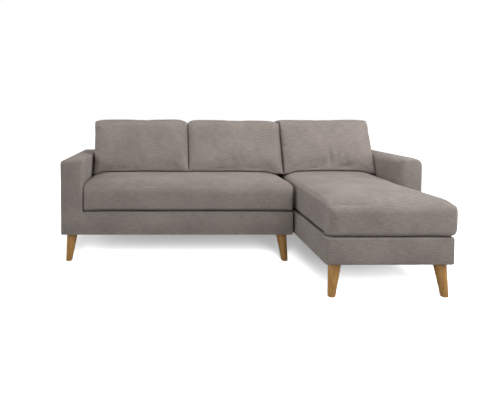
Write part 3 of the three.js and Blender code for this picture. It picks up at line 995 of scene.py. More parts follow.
@dataclass
class FreeArm(FacedArm):
    """The right arm: a padded box, open below for its frame, with a seam round its facing."""

    node: str = "right_arm_cover"
    top_radius: float = 44 * MM
    facing_radius: float = 18 * MM
    rise: float = 13 * MM
    side_rise: float = 4 * MM
    base_overlap: float = 12 * MM

    def edge_radius(self, middle: Vector, way: Vector) -> float:
        """The largest radius along the top's outer edge, and a large one on the inner side.

        Args:
            middle: The edge's middle.
            way: Its direction.

        Returns:
            The radius in metres.
        """
        (inner, foot), (_, top), (outer, _), _ = self.outline
        if abs(way.y) > ALONG and middle.z > top - MERGE and middle.x > outer - MERGE:
            return self.top_radius
        if abs(middle.x - inner) < MERGE and middle.z > foot + MERGE:
            return self.inner_radius
        on_facing = middle.y < self.front + MERGE and middle.z > foot + MERGE
        return self.facing_radius if on_facing else self.radius

    def freedom(self, point: Vector, normal: Vector) -> float:
        """Nothing below, and less on the inner side beside the seat.

        Args:
            point: A point of the skin.
            normal: Its normal.

        Returns:
            The share of the full swell.
        """
        if normal.z < -TOWARDS:
            return 0.0
        return self.beside_seat(point.z) if normal.x < -TOWARDS else 1.0

    def build(self, finishes: Finishes) -> Object:
        """Makes the arm's skin.

        Args:
            finishes: The sofa's finishes.

        Returns:
            The piece.
        """
        low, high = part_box(self.node)
        high.x += self.grow + self.side_rise
        high.z += self.rise
        self.seat_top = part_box("chaise_cushion")[1].z
        self.front = low.y
        self.outline = [(low.x, low.z), (low.x, high.z), (high.x, high.z), (high.x, low.z)]
        bm = block(low, high)
        open_face(bm, Vector((0, 0, -1)), self.flange)
        self.open_to_base(bm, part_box("chaise_front_border")[1].z - self.base_overlap)
        return self.cover(bm, finishes.upholstery)

    def open_to_base(self, bm: BMesh, height: float) -> None:
        """Opens the inner side below a height, where the base's boards run into the arm.

        Args:
            bm: The skin.
            height: The opening's upper edge.
        """
        inner, behind = self.outline[0][0], self.front + 2 * self.inner_radius
        for place, way in (((0, 0, height), (0, 0, 1)), ((0, behind, 0), (0, 1, 0))):
            cut_at(bm, place, way)
        hidden = [
            face for face in bm.faces
            if all(abs(v.co.x - inner) < MERGE and v.co.z < height + MERGE
                   and v.co.y > behind - MERGE for v in face.verts)
        ]
        bmesh.ops.delete(bm, geom=hidden, context="FACES")


@dataclass
class ChaiseBase(PaddedSkin):
    """The chaise's base: one cloth wrapped round its front and both sides, with round corners."""

    flange: float = 15.5 * MM
    corner_radius: float = 14 * MM
    tight_from: float = 20 * MM
    front_rise: float = 2 * MM
    side_rise: float = 2 * MM
    top_drop: float = 3 * MM
    sofa_front: float = field(init=False, default=0.0)

    def edge_radius(self, middle: Vector, way: Vector) -> float:
        """A larger radius on the two upright front corners."""
        return self.corner_radius if abs(way.z) > ALONG else self.radius

    def freedom(self, point: Vector, normal: Vector) -> float:
        """Nothing below, nor beside the sofa section and the arm."""
        tight = point.y > self.sofa_front - self.tight_from
        return 0.0 if normal.z < -TOWARDS or tight else 1.0

    def build(self, finishes: Finishes) -> Object:
        """Makes the wrap.

        Args:
            finishes: The sofa's finishes.

        Returns:
            The piece.
        """
        front_low, front_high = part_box("chaise_front_border")
        _, right_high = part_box("chaise_right_border")
        self.sofa_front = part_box("left_arm_cover")[0].y
        front_low.y -= self.front_rise
        bm = block(front_low, Vector((right_high.x + self.side_rise, right_high.y,
                                      front_high.z - self.top_drop)))
        open_face(bm, Vector((0, 1, 0)), 0.0)
        open_face(bm, Vector((0, 0, -1)), self.flange)
        open_face(bm, Vector((0, 0, 1)), self.flange)
        return self.cover(bm, finishes.upholstery)


@dataclass
class RakedBack(PaddedSkin):
    """A section's back: raked in front, upright behind, padded over its frame."""

    node: str = "sofa_back_cover"
    foot_thickness: float = 242 * MM
    top_thickness: float = 165 * MM
    flange: float = 5 * MM

    def freedom(self, point: Vector, normal: Vector) -> float:
        """Only behind and on top."""
        return 0.0 if normal.y < TOWARDS and normal.z < TOWARDS else 1.0

    def build(self, finishes: Finishes) -> Object:
        """Makes the back's skin from its side outline.

        Args:
            finishes: The sofa's finishes.

        Returns:
            The piece.
        """
        low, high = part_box(self.node)
        outline = [
            (high.y - self.foot_thickness, low.z), (high.y, low.z), (high.y, high.z),
            (high.y - self.top_thickness, high.z),
        ]
        bm = bmesh.new()
        side = bm.faces.new([bm.verts.new((low.x, y, z)) for y, z in outline])
        made = bmesh.ops.extrude_face_region(bm, geom=[side])["geom"]
        bmesh.ops.translate(bm, vec=(high.x - low.x, 0, 0), verts=only(made, BMVert))
        bmesh.ops.recalc_face_normals(bm, faces=bm.faces)
        open_face(bm, Vector((0, 0, -1)), self.flange)
        return self.cover(bm, finishes.upholstery)


# Loose cushions


@dataclass(frozen=True)
class Stuffing:
    """How hard a cushion is filled, for the cloth simulation."""

    pressure: float = 4.0
    frames: int = 20
    most: float = 24 * MM
    stiffness: float = 12.0
    bending: float = 0.6
    quality: int = 5

    def fill(self, piece: Object) -> None:
        """Blows the cloth up from inside, and keeps the result in the mesh.

        Args:
            piece: The cushion, with its mesh as cut.
        """
        scene = bpy.context.scene
        before = mesh_points(piece.data)
        modifier = piece.modifiers.new("stuffing", "CLOTH")
        settings = modifier.settings
        settings.quality = self.quality
        settings.use_pressure = True
        settings.uniform_pressure_force = self.pressure
        settings.tension_stiffness = self.stiffness
        settings.compression_stiffness = self.stiffness
        settings.shear_stiffness = self.stiffness / 2
        settings.bending_stiffness = self.bending
        settings.effector_weights.gravity = 0.0
        modifier.point_cache.frame_start = 1
        modifier.point_cache.frame_end = self.frames
        for frame_number in range(1, self.frames + 1):
            scene.frame_set(frame_number)
        shown = piece.evaluated_get(bpy.context.evaluated_depsgraph_get())
        after = mesh_points(shown.data)
        piece.modifiers.remove(modifier)
        scene.frame_set(1)
        move = after - before
        length = np.linalg.norm(move, axis=1, keepdims=True)
        way = move / np.maximum(length, sys.float_info.epsilon)
        set_mesh_points(piece.data, before + way * self.most * np.tanh(length / self.most))


def hold_between(
    values: np.ndarray, give: float, least: float | np.ndarray = -math.inf,
    most: float | np.ndarray = math.inf,
) -> np.ndarray:
    """Stops values softly at their limits, over the last few millimetres.

    Args:
        values: The values along one axis.
        give: Over which distance they are slowed.
        least: The lower limit.
        most: The upper limit.

    Returns:
        The held values.
    """
    for sign, limit in ((1.0, most), (-1.0, -least)):
        past = np.maximum(sign * values - limit + give, 0.0)
        slowed = limit - give * np.exp(-past / give)
        values = sign * np.where(past > 0, slowed, sign * values)
    return values


def fitted(points: np.ndarray, low: np.ndarray, high: np.ndarray) -> np.ndarray:
    """Scales points along each axis to fill a box."""
    least, most = points.min(axis=0), points.max(axis=0)
    return (points - least) / (most - least) * (high - low) + low


def read_rows(items: bpy_prop_collection, name: str, width: int = 3) -> np.ndarray:
    """Reads one value of every item as rows of numbers.

    Args:
        items: The items, such as a mesh's vertices.
        name: The value's name.
        width: How many numbers it has.

    Returns:
        One row for each item.
    """
    flat = np.empty(len(items) * width)
    items.foreach_get(name, flat)
    return flat.reshape(-1, width)


def mesh_points(mesh: Mesh) -> np.ndarray:
    """A mesh's points as rows."""
    return read_rows(mesh.vertices, "co")


def set_mesh_points(mesh: Mesh, points: np.ndarray) -> None:
    """Writes a mesh's points from rows."""
    mesh.vertices.foreach_set("co", points.ravel())
    mesh.update()


@dataclass(frozen=True)
class Roll:
    """An edge between two sides of a block, rolled over to a radius."""

    sides: tuple[Side, Side]
    radius: float

    def ease(self, point: Vector, half: Vector) -> None:
        """Moves a point of the block's surface onto the rolled edge, where it lies by one.

        Args:
            point: The point from the block's middle, changed in place.
            half: The block's half sizes.
        """
        near = []
        for side in self.sides:
            axis, sign = side.value
            depth = half[axis.value] - sign * point[axis.value]
            near.append(max(0.0, 1 - depth / self.radius))
        if min(near) > 0:
            eased = (near[0] * math.sqrt(1 - near[1] ** 2 / 2),
                     near[1] * math.sqrt(1 - near[0] ** 2 / 2))
            for side, share in zip(self.sides, eased):
                axis, sign = side.value
                point[axis.value] = sign * (half[axis.value] - self.radius * (1 - share))


@dataclass(frozen=True)
class Crease:
    """A soft fold pressed into a panel, placed in metres from the panel's middle."""

    across: float
    along: float
    angle: float
    length: float
    width: float
    depth: float

    def press(self, right: np.ndarray, up: np.ndarray) -> np.ndarray:
        """How deep the fold is at each point of the panel.

        Args:
            right: Metres across from the panel's middle.
            up: Metres along from the panel's middle.

        Returns:
            The depths in metres.
        """
        cos, sin = math.cos(math.radians(self.angle)), math.sin(math.radians(self.angle))
        along = ((right - self.across) * cos + (up - self.along) * sin) / (self.length / 2)
        aside = (-(right - self.across) * sin + (up - self.along) * cos) / self.width
        return self.depth * np.exp(-along ** 2 - aside ** 2)


@dataclass
class BoxCushion:
    """A loose cushion of two panels and a boxing strip, filled and pressed into shape."""

    node: str
    body: str
    panel_axis: Axis
    edge: float
    stuffing: Stuffing
    creases: tuple[Crease, ...] = ()
    pitch: float = 15 * MM
    offset: float = 0.0
    shrink: float = 6 * MM
    room_low: tuple[float, ...] = mm(16, 6, 16)
    room_high: tuple[float, ...] = mm(16, 12, 6)
    fill_share: float = 0.75
    edge_segments: int = 4
    seam_depth: float = 0.5 * MM
    seam_width: float = 5 * MM
    lump: float = 2.5 * MM
    lumps: float = 7.0
    pucker: float = 1.2 * MM
    puckers: float = 38.0
    pucker_width: float = 22 * MM
    low: Vector = field(init=False, default_factory=Vector)
    high: Vector = field(init=False, default_factory=Vector)

    def cut_size(self) -> tuple[Vector, Vector]:
        """The corners of the block that the cushion's cloth is cut to."""
        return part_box(self.node)

    def rolls(self) -> list[Roll]:
        """The edges that are rolled over further than the block's own edges."""
        return []

    def form(self, point: Vector, share: Vector) -> Vector:
        """Where a point of the cut block goes before filling."""
        return point

    def upright(self, points: np.ndarray, turn: float = 1.0) -> np.ndarray:
        """Stands a leaning cushion upright, or leans it back where the turn is -1."""
        return points

    def settle(self, points: np.ndarray, places: np.ndarray) -> np.ndarray:
        """Presses the filled cushion against what it rests on."""
        return points

    def seam_distance(self, place: Vector) -> float:
        """The signed distance along the cloth to the nearest panel seam.

        Args:
            place: A point of the block as cut.

        Returns:
            The distance in metres, above zero on the panels and below zero on the boxing.
        """
        half = (self.high - self.low) / 2
        core = half - Vector((self.edge,) * 3)
        point = place - (self.low + self.high) / 2
        held = Vector([min(max(point[i], -core[i]), core[i]) for i in range(3)])
        out = point - held
        axis = self.panel_axis.value
        others = [i for i in range(3) if i != axis]
        aside = math.hypot(*(out[i] for i in others))
        quarter = self.edge * math.pi / 4
        if abs(out[axis]) < MERGE:
            return -quarter - (core[axis] - abs(point[axis]))
        if aside < MERGE:
            return quarter + min(core[i] - abs(point[i]) for i in others)
        return self.edge * (math.atan2(abs(out[axis]), aside) - math.pi / 4)

    def cut(self) -> BMesh:
        """Makes the cut block with its seams, cloth map and places.

        Returns:
            The mesh, formed and ready to fill.
        """
        self.low, self.high = self.cut_size()
        centre, half = (self.low + self.high) / 2, (self.high - self.low) / 2
        bm = block(self.low, self.high)
        round_edges(bm, bm.edges, self.edge, self.edge_segments)
        slice_evenly(bm, self.pitch)
        bmesh.ops.remove_doubles(bm, verts=bm.verts, dist=MERGE)
        bm = in_order(bm)
        place = bm.verts.layers.float_vector.new(PLACE)
        seam = bm.verts.layers.float.new(SEAM)
        for vertex in bm.verts:
            vertex[place] = vertex.co
            vertex[seam] = self.seam_distance(vertex.co)
        lay_cloth(bm, self.offset)
        rolls = self.rolls()
        for vertex in bm.verts:
            point = vertex.co - centre
            share = Vector([point[i] / half[i] for i in range(3)])
            for roll in rolls:
                roll.ease(point, half)
            vertex.co = self.form(point, share) + centre
        return bm

    def build(self, finishes: Finishes) -> Object:
        """Cuts, fills and settles the cushion.

        Args:
            finishes: The sofa's finishes.

        Returns:
            The piece.
        """
        bm = self.cut()
        piece = finish_piece(
            f"{self.node}_stuffed", bm, self.body, [finishes.cushion_cloth],
            (self.node,),
        )
        mesh = piece.data
        empty = self.upright(mesh_points(mesh))
        self.stuffing.fill(piece)
        full = fitted(
            self.upright(mesh_points(mesh)), empty.min(axis=0) - self.room_low,
            empty.max(axis=0) + self.room_high,
        )
        set_mesh_points(mesh, self.upright(full, -1.0))
        places = read_rows(mesh.attributes[PLACE].data, "vector")
        set_mesh_points(mesh, self.settle(self.pressed(piece, places), places))
        mesh.shade_smooth()
        finer = piece.modifiers.new("finer", "SUBSURF")
        finer.levels = finer.render_levels = 1
        log.info("made %s", piece.name)
        return piece

    def pressed(self, piece: Object, places: np.ndarray) -> np.ndarray:
        """Adds lumps in the filling, the seams' valleys and the creases.

        Args:
            piece: The filled cushion.
            places: Its points' places on the cut block.

        Returns:
            The new points.
        """
        mesh = piece.data
        seam = read_rows(mesh.attributes[SEAM].data, "value", 1)
        shift = Vector((self.offset * self.lumps, 0, 0))
        lumps, puckers = (
            np.array([[noise.noise(Vector(place) * scale + shift)] for place in places])
            for scale in (self.lumps, self.puckers)
        )
        inwards = self.seam_depth * np.exp(-(seam / self.seam_width) ** 2) - self.lump * lumps
        inwards = inwards - self.pucker * puckers * np.exp(-(seam / self.pucker_width) ** 2)
        middle = (self.low + self.high) / 2
        lying = self.panel_axis is Axis.Z
        right = places[:, 0] - middle.x
        up = places[:, 1] - middle.y if lying else places[:, 2] - middle.z
        front = places[:, 2] > middle.z if lying else places[:, 1] < middle.y
        for crease in self.creases:
            inwards = inwards + (crease.press(right, up) * front)[:, None]
        return mesh_points(mesh) - read_rows(mesh.vertices, "normal") * inwards


@dataclass
class SeatCushion(BoxCushion):
    """A seat cushion: a crowned box that lies flat on the deck."""

    crown: float = 8 * MM
    crown_room: float = 6 * MM
    nose: float = 70 * MM
    shoulders: tuple[float, ...] = mm(32, 32)
    rear_shoulder: float = 32 * MM
    front_corners: tuple[float, ...] = mm(18, 18)
    slope: float = 3 * MM
    flare: tuple[float, ...] = (0.0, 0.0)
    limits: Callable[[np.ndarray], tuple[np.ndarray, np.ndarray]] | None = None
    side_give: float = 5 * MM
    rear_give: float = 6 * MM
    deck_give: float = 4 * MM
    deck_clearance: float = 0.2 * MM
    flare_from: float = field(init=False, default=0.0)

    def cut_size(self) -> tuple[Vector, Vector]:
        """The block's corners: the node's, lower by its crown, and a little smaller.

        Returns:
            The lowest and the highest corner.
        """
        low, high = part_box(self.node)
        self.flare_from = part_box("left_arm_cover")[0].y
        squeeze = Vector((self.shrink + max(self.flare), self.shrink, 0))
        return low + squeeze, high - squeeze - Vector((0, 0, self.crown + self.crown_room))

    def rolls(self) -> list[Roll]:
        """A long roll over the front edge, shorter ones round the top and the front corners."""
        return [
            Roll((Side.FRONT, Side.TOP), self.nose),
            Roll((Side.LEFT, Side.TOP), self.shoulders[0]),
            Roll((Side.RIGHT, Side.TOP), self.shoulders[1]),
            Roll((Side.REAR, Side.TOP), self.rear_shoulder),
            Roll((Side.LEFT, Side.FRONT), self.front_corners[0]),
            Roll((Side.RIGHT, Side.FRONT), self.front_corners[1]),
        ]

    def form(self, point: Vector, share: Vector) -> Vector:
        """Crowns the top, slopes it to the front and flares the free front's sides.

        Args:
            point: A point of the cut block, from its middle.
            share: Its place as shares of the block's half sizes.

        Returns:
            Where the point goes.
        """
        half = (self.high - self.low) / 2
        moved = point.copy()
        upper = max(share.z, 0.0)
        moved.z += (self.crown * swell(share.x) * swell(share.y) + self.slope * share.y) * upper
        flare = self.flare[int(share.x > 0)]
        if flare > 0:
            free = self.flare_from - self.low.y
            behind = min(point.y + half.y, free) / free
            moved.x += share.x * flare * (1 - behind * behind) * swell(share.z)
        return moved

    def settle(self, points: np.ndarray, places: np.ndarray) -> np.ndarray:
        """Keeps the cushion on the deck and between its neighbours.

        Args:
            points: The filled cushion's points.
            places: Their places on the cut block; not used.

        Returns:
            The settled points.
        """
        settled = points.copy()
        settled[:, 2] = hold_between(points[:, 2], self.deck_give,
                                     self.low.z + self.deck_clearance)
        if self.limits:
            settled[:, 0] = hold_between(points[:, 0], self.side_give, *self.limits(settled))
        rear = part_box(self.node)[1].y
        settled[:, 1] = hold_between(points[:, 1], self.rear_give, most=rear)
        return settled


@dataclass
class BackCushion(BoxCushion):
    """A back cushion: fullest at its foot, leaning on the raked back and resting on a seat."""

    wedge: float = 58 * MM
    face_crown: float = 18 * MM
    top_crown: float = 3 * MM
    thickness: float = 274 * MM
    rake: float = 0.17
    lean: float = 0.0
    end_fill: float = 10 * MM
    face_fill: float = 8 * MM
    slump: float = 0.0
    top_roll: float = 34 * MM
    side_roll: float = 34 * MM
    foot_roll: float = 26 * MM
    rear_roll: float = 44 * MM
    corners: tuple[float, ...] = mm(38, 38)
    left: tuple[float, ...] = (-1.0, -1.0)
    right: tuple[float, ...] = (1.0, 1.0)
    give: float = 6 * MM
    foot_give: float = 3 * MM
    back_clearance: float = 1 * MM
    over_back: float = 12 * MM
    over_back_from: float = 60 * MM
    soft_foot: float = 0.45
    seat_clearance: float = 1.6 * MM
    sag: float = 14 * MM
    seats: tuple[Object, ...] = ()

    def cut_size(self) -> tuple[Vector, Vector]:
        """The block's corners, square to the frame, before it leans.

        Returns:
            The lowest and the highest corner.
        """
        low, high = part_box(self.node)
        back_low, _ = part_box("sofa_back_cover")
        face = back_low.y + self.rake * ((low.z + high.z) / 2 - back_low.z)
        squeeze = Vector((self.shrink, self.shrink, self.shrink))
        block_low = Vector((low.x, face - self.thickness, low.z)) + squeeze
        block_low.z = low.z
        return block_low, Vector((high.x, face, high.z)) - squeeze

    def rolls(self) -> list[Roll]:
        """Rolled edges round the face and the top, and full round corners in elevation."""
        return [
            Roll((Side.LEFT, Side.TOP), self.corners[0]),
            Roll((Side.RIGHT, Side.TOP), self.corners[1]),
            Roll((Side.FRONT, Side.TOP), self.top_roll),
            Roll((Side.REAR, Side.TOP), self.top_roll),
            Roll((Side.FRONT, Side.LEFT), self.side_roll),
            Roll((Side.FRONT, Side.RIGHT), self.side_roll),
            Roll((Side.FRONT, Side.FOOT), self.foot_roll),
            Roll((Side.REAR, Side.LEFT), self.rear_roll),
            Roll((Side.REAR, Side.RIGHT), self.rear_roll),
        ]

    def upright(self, points: np.ndarray, turn: float = 1.0) -> np.ndarray:
        """Stands the leaning cushion upright, or leans it back where the turn is -1.

        Args:
            points: The cushion's points.
            turn: 1 to stand it upright, or -1 to lean it back.

        Returns:
            The turned points.
        """
        turned = points.copy()
        turned[:, 1] -= turn * self.rake * (points[:, 2] - (self.low.z + self.high.z) / 2)
        return turned

    def form(self, point: Vector, share: Vector) -> Vector:
        """Swells the face and top, fills out the foot and leans the block back.

        Args:
            point: A point of the cut block, from its middle.
            share: Its place as shares of the block's half sizes.

        Returns:
            Where the point goes.
        """
        moved = point.copy()
        forward, upper = max(-share.y, 0.0), max(share.z, 0.0)
        moved.y -= self.face_crown * swell(share.x) * swell(share.z) * forward
        moved.y += self.wedge * share.z * forward
        moved.z += self.top_crown * swell(share.x) * swell(share.y) * upper
        moved.x += share.x * (self.end_fill * (1 - swell(share.z)) + self.face_fill * forward)
        moved.z -= self.slump * share.x * upper
        moved.y += self.rake * moved.z
        moved.x += self.lean * share.z
        return moved

    def settle(self, points: np.ndarray, places: np.ndarray) -> np.ndarray:
        """Keeps the cushion clear of the back and its neighbours, with its foot on the seat.

        Args:
            points: The filled cushion's points.
            places: Their places on the cut block.

        Returns:
            The settled points.
        """
        settled = points.copy()
        height = self.high.z - self.low.z
        back_low, back_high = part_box("sofa_back_cover")
        face = back_low.y + self.rake * (points[:, 2] - back_low.z) - self.back_clearance
        above = np.clip((points[:, 2] - back_high.z) / self.over_back_from, 0, 1)
        settled[:, 1] = hold_between(points[:, 1], self.give, most=face + self.over_back * above)
        up = np.clip((points[:, 2] - self.low.z) / height, 0, 1)
        least, most = (foot + (top - foot) * up for foot, top in (self.left, self.right))
        settled[:, 0] = hold_between(points[:, 0], self.give, least, most)
        settled[:, 2] = hold_between(points[:, 2], self.foot_give, self.low.z)
        graph = bpy.context.evaluated_depsgraph_get()
        surfaces = [BVHTree.FromObject(seat, graph) for seat in self.seats]
        soft = self.soft_foot * height
        for i, (x, y, _) in enumerate(settled):
            share = (self.low.z + soft - places[i, 2]) / soft
            if share <= 0:
                continue
            above_seat = Vector((x, y, self.high.z))
            hits = [surface.ray_cast(above_seat, -Axis.Z.vector)[0] for surface in surfaces]
            seat_top = max((hit.z for hit in hits if hit is not None), default=0.0)
            down = max(seat_top + self.seat_clearance - self.low.z, -self.sag)
            down *= smooth_share(share)
            settled[i] += (0.0, self.rake * min(down, 0.0), down)
        return settled


# Inner and lower pieces


@dataclass
class TurnedLeg:
    """A splayed, tapered leg with a blind hole for its stud, and a glide under its foot."""

    node: str
    body: str
    out_x: float
    out_y: float
    top_radius: float = 32 * MM
    foot_radius: float = 19 * MM
    shoulder: float = 2 * MM
    foot_chamfer: float = 2 * MM
    round_in: float = 0.4
    round_up: float = 0.3
    glide: float = 2.2 * MM
    glide_radius: float = 14 * MM
    glide_chamfer: float = 0.8 * MM
    glide_gap: float = 0.1 * MM
    splay: float = 19 * MM
    hole_radius: float = 4.4 * MM
    hole_depth: float = 26.4 * MM
    steps: int = 40

    def turn(self, outline: Sequence[tuple[float, float]], base: Vector) -> BMesh:
        """Spins an outline of radii and heights, and splays and places it.

        Args:
            outline: Radii and heights below the leg's top, from axis to axis.
            base: The middle of the leg's top.

        Returns:
            The closed mesh.
        """
        bm = bmesh.new()
        line = [bm.verts.new((radius, 0, height)) for radius, height in outline]
        edges = [bm.edges.new(pair) for pair in zip(line, line[1:])]
        bmesh.ops.spin(
            bm, geom=line + edges, cent=(0, 0, 0), axis=(0, 0, 1), angle=2 * math.pi,
            steps=self.steps, use_merge=True, use_duplicate=False,
        )
        bmesh.ops.remove_doubles(bm, verts=bm.verts, dist=MERGE)
        bmesh.ops.recalc_face_normals(bm, faces=bm.faces)
        slope = self.splay / base.z
        shear = Matrix.Identity(4)
        shear[0][2] = -self.out_x * slope
        shear[1][2] = -self.out_y * slope
        bmesh.ops.transform(bm, matrix=Matrix.Translation(base) @ shear, verts=bm.verts)
        return bm

    def build(self, finishes: Finishes) -> list[Object]:
        """Makes the leg and its glide.

        Args:
            finishes: The sofa's finishes.

        Returns:
            Both pieces.
        """
        low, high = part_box(self.node)
        top = Vector((
            high.x - self.top_radius if self.out_x < 0 else low.x + self.top_radius,
            high.y - self.top_radius if self.out_y < 0 else low.y + self.top_radius,
            high.z,
        ))
        foot = -top.z + self.glide
        chamfer, shoulder = self.foot_chamfer, self.shoulder
        upright = [
            (0, foot), (self.foot_radius - chamfer, foot),
            (self.foot_radius - self.round_in * chamfer, foot + self.round_up * chamfer),
            (self.foot_radius, foot + chamfer), (self.top_radius, -shoulder),
            (self.top_radius - self.round_up * shoulder, -self.round_in * shoulder),
            (self.top_radius - shoulder, 0), (self.hole_radius, 0),
            (self.hole_radius, -self.hole_depth), (0, -self.hole_depth),
        ]
        leg = finish_piece(
            f"{self.node}_turned", self.turn(upright, top), self.body, [finishes.leg_wood],
            (self.node,),
        )
        disc = [
            (0, -top.z), (self.glide_radius - self.glide_chamfer, -top.z),
            (self.glide_radius, -top.z + self.glide_chamfer),
            (self.glide_radius, foot - self.glide_gap), (0, foot - self.glide_gap),
        ]
        glide = finish_piece(f"{self.node}_glide", self.turn(disc, top), self.body,
                             [finishes.nylon])
        return [leg, glide]


@dataclass
class DeckPad:
    """The padded deck under the seat cushions: its front strip is in the sofa's own cloth."""

    section: str
    body: str
    front_strip: float = 90 * MM
    radius: float = 5 * MM
    segments: int = 3
    pitch: float = 45 * MM
    offset: float = 0.9
    dip: float = 1.2 * MM
    dips: float = 11.0

    def build(self, finishes: Finishes) -> Object:
        """Makes the pad.

        Args:
            finishes: The sofa's finishes.

        Returns:
            The piece.
        """
        node = f"{self.section}_seat_deck"
        low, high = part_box(node)
        bm = block(low, high)
        round_edges(bm, sharp_edges(bm), self.radius, self.segments)
        strip_end = low.y + self.front_strip
        cut_at(bm, (0, strip_end, 0), (0, 1, 0))
        slice_evenly(bm, self.pitch, (Axis.X, Axis.Y))
        lay_cloth(bm, self.offset)
        seam = bm.verts.layers.float.new(SEAM)
        for vertex in bm.verts:
            vertex[seam] = vertex.co.y - strip_end
            if vertex.co.z > high.z - MERGE:
                vertex.co.z -= self.dip * (1 + noise.noise(vertex.co * self.dips)) / 2
        for face in bm.faces:
            face.material_index = int(face.calc_center_median().y > strip_end)
        piece = finish_piece(f"{self.section}_deck_pad", bm, self.body,
                             [finishes.upholstery, finishes.deck_cloth], (node,))
        return piece


@dataclass
class WovenWebbing:
    """Elastic straps woven over and under each other; the staples at their ends are not made."""

    section: str
    body: str
    strap: float = 80 * MM
    pitch: float = 190 * MM
    cloth: float = 1.05 * MM
    rise: float = 0.65 * MM
    slice: float = 24 * MM

    def places(self, low: float, high: float) -> list[float]:
        """The straps' middles between two ends, with one along each edge.

        Args:
            low: The lower end.
            high: The higher end.

        Returns:
            The middles.
        """
        count = max(1, round((high - low - self.strap) / self.pitch))
        step = (high - low - self.strap) / count
        return [low + self.strap / 2 + i * step for i in range(count + 1)]

    def build(self, finishes: Finishes) -> Object:
        """Makes the net of straps.

        Args:
            finishes: The sofa's finishes.

        Returns:
            The piece.
        """
        node = f"{self.section}_seat_webbing"
        low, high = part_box(node)
        across = self.places(low.x, high.x)
        along = self.places(low.y, high.y)
        bm = bmesh.new()
        layer = bm.loops.layers.uv.new(CLOTH_MAP)
        middle = (low.z + high.z) / 2
        for i, x in enumerate(across):
            self.lay_strap(bm, layer, Axis.Y, x, (low.y, high.y), along, i % 2, middle)
        for i, y in enumerate(along):
            self.lay_strap(bm, layer, Axis.X, y, (low.x, high.x), across, (i + 1) % 2, middle)
        return finish_piece(f"{self.section}_woven_webbing", bm, self.body, [finishes.elastic],
                            (node,))

    def lay_strap(
        self, bm: BMesh, layer: BMLayerItem, axis: Axis, aside: float,
        ends: tuple[float, float], crossings: Sequence[float], first: int, middle: float,
    ) -> None:
        """Lays one strap over and under those that it crosses.

        Args:
            bm: The mesh.
            layer: The cloth map; not used.
            axis: The axis it runs along.
            aside: Where its middle is on the other axis.
            ends: Where it starts and ends.
            crossings: Where the other straps cross it.
            first: Whether it goes over the first one.
            middle: The net's mid height.
        """
        strip = block(Vector((ends[0], -self.strap / 2, -self.cloth / 2)),
                      Vector((ends[1], self.strap / 2, self.cloth / 2)))
        slice_evenly(strip, self.slice, (Axis.X,))
        lay_cloth(strip, 0.0)
        for vertex in strip.verts:
            nearest = min(range(len(crossings)), key=lambda i: abs(crossings[i] - vertex.co.x))
            off = abs(crossings[nearest] - vertex.co.x) / (self.pitch / 4)
            side = 1.0 if (nearest + first) % 2 == 0 else -1.0
            vertex.co.z += side * self.rise * (1 - smooth_share(off - 1.0))
        turn = Matrix.Identity(4) if axis is Axis.X else Matrix.Rotation(math.pi / 2, 4, "Z")
        shift = Vector((0, aside, middle)) if axis is Axis.X else Vector((aside, 0, middle))
        bmesh.ops.transform(strip, matrix=Matrix.Translation(shift) @ turn, verts=strip.verts)
        mesh = use_up(strip, "strap")
        bm.from_mesh(mesh)
        bpy.data.meshes.remove(mesh)


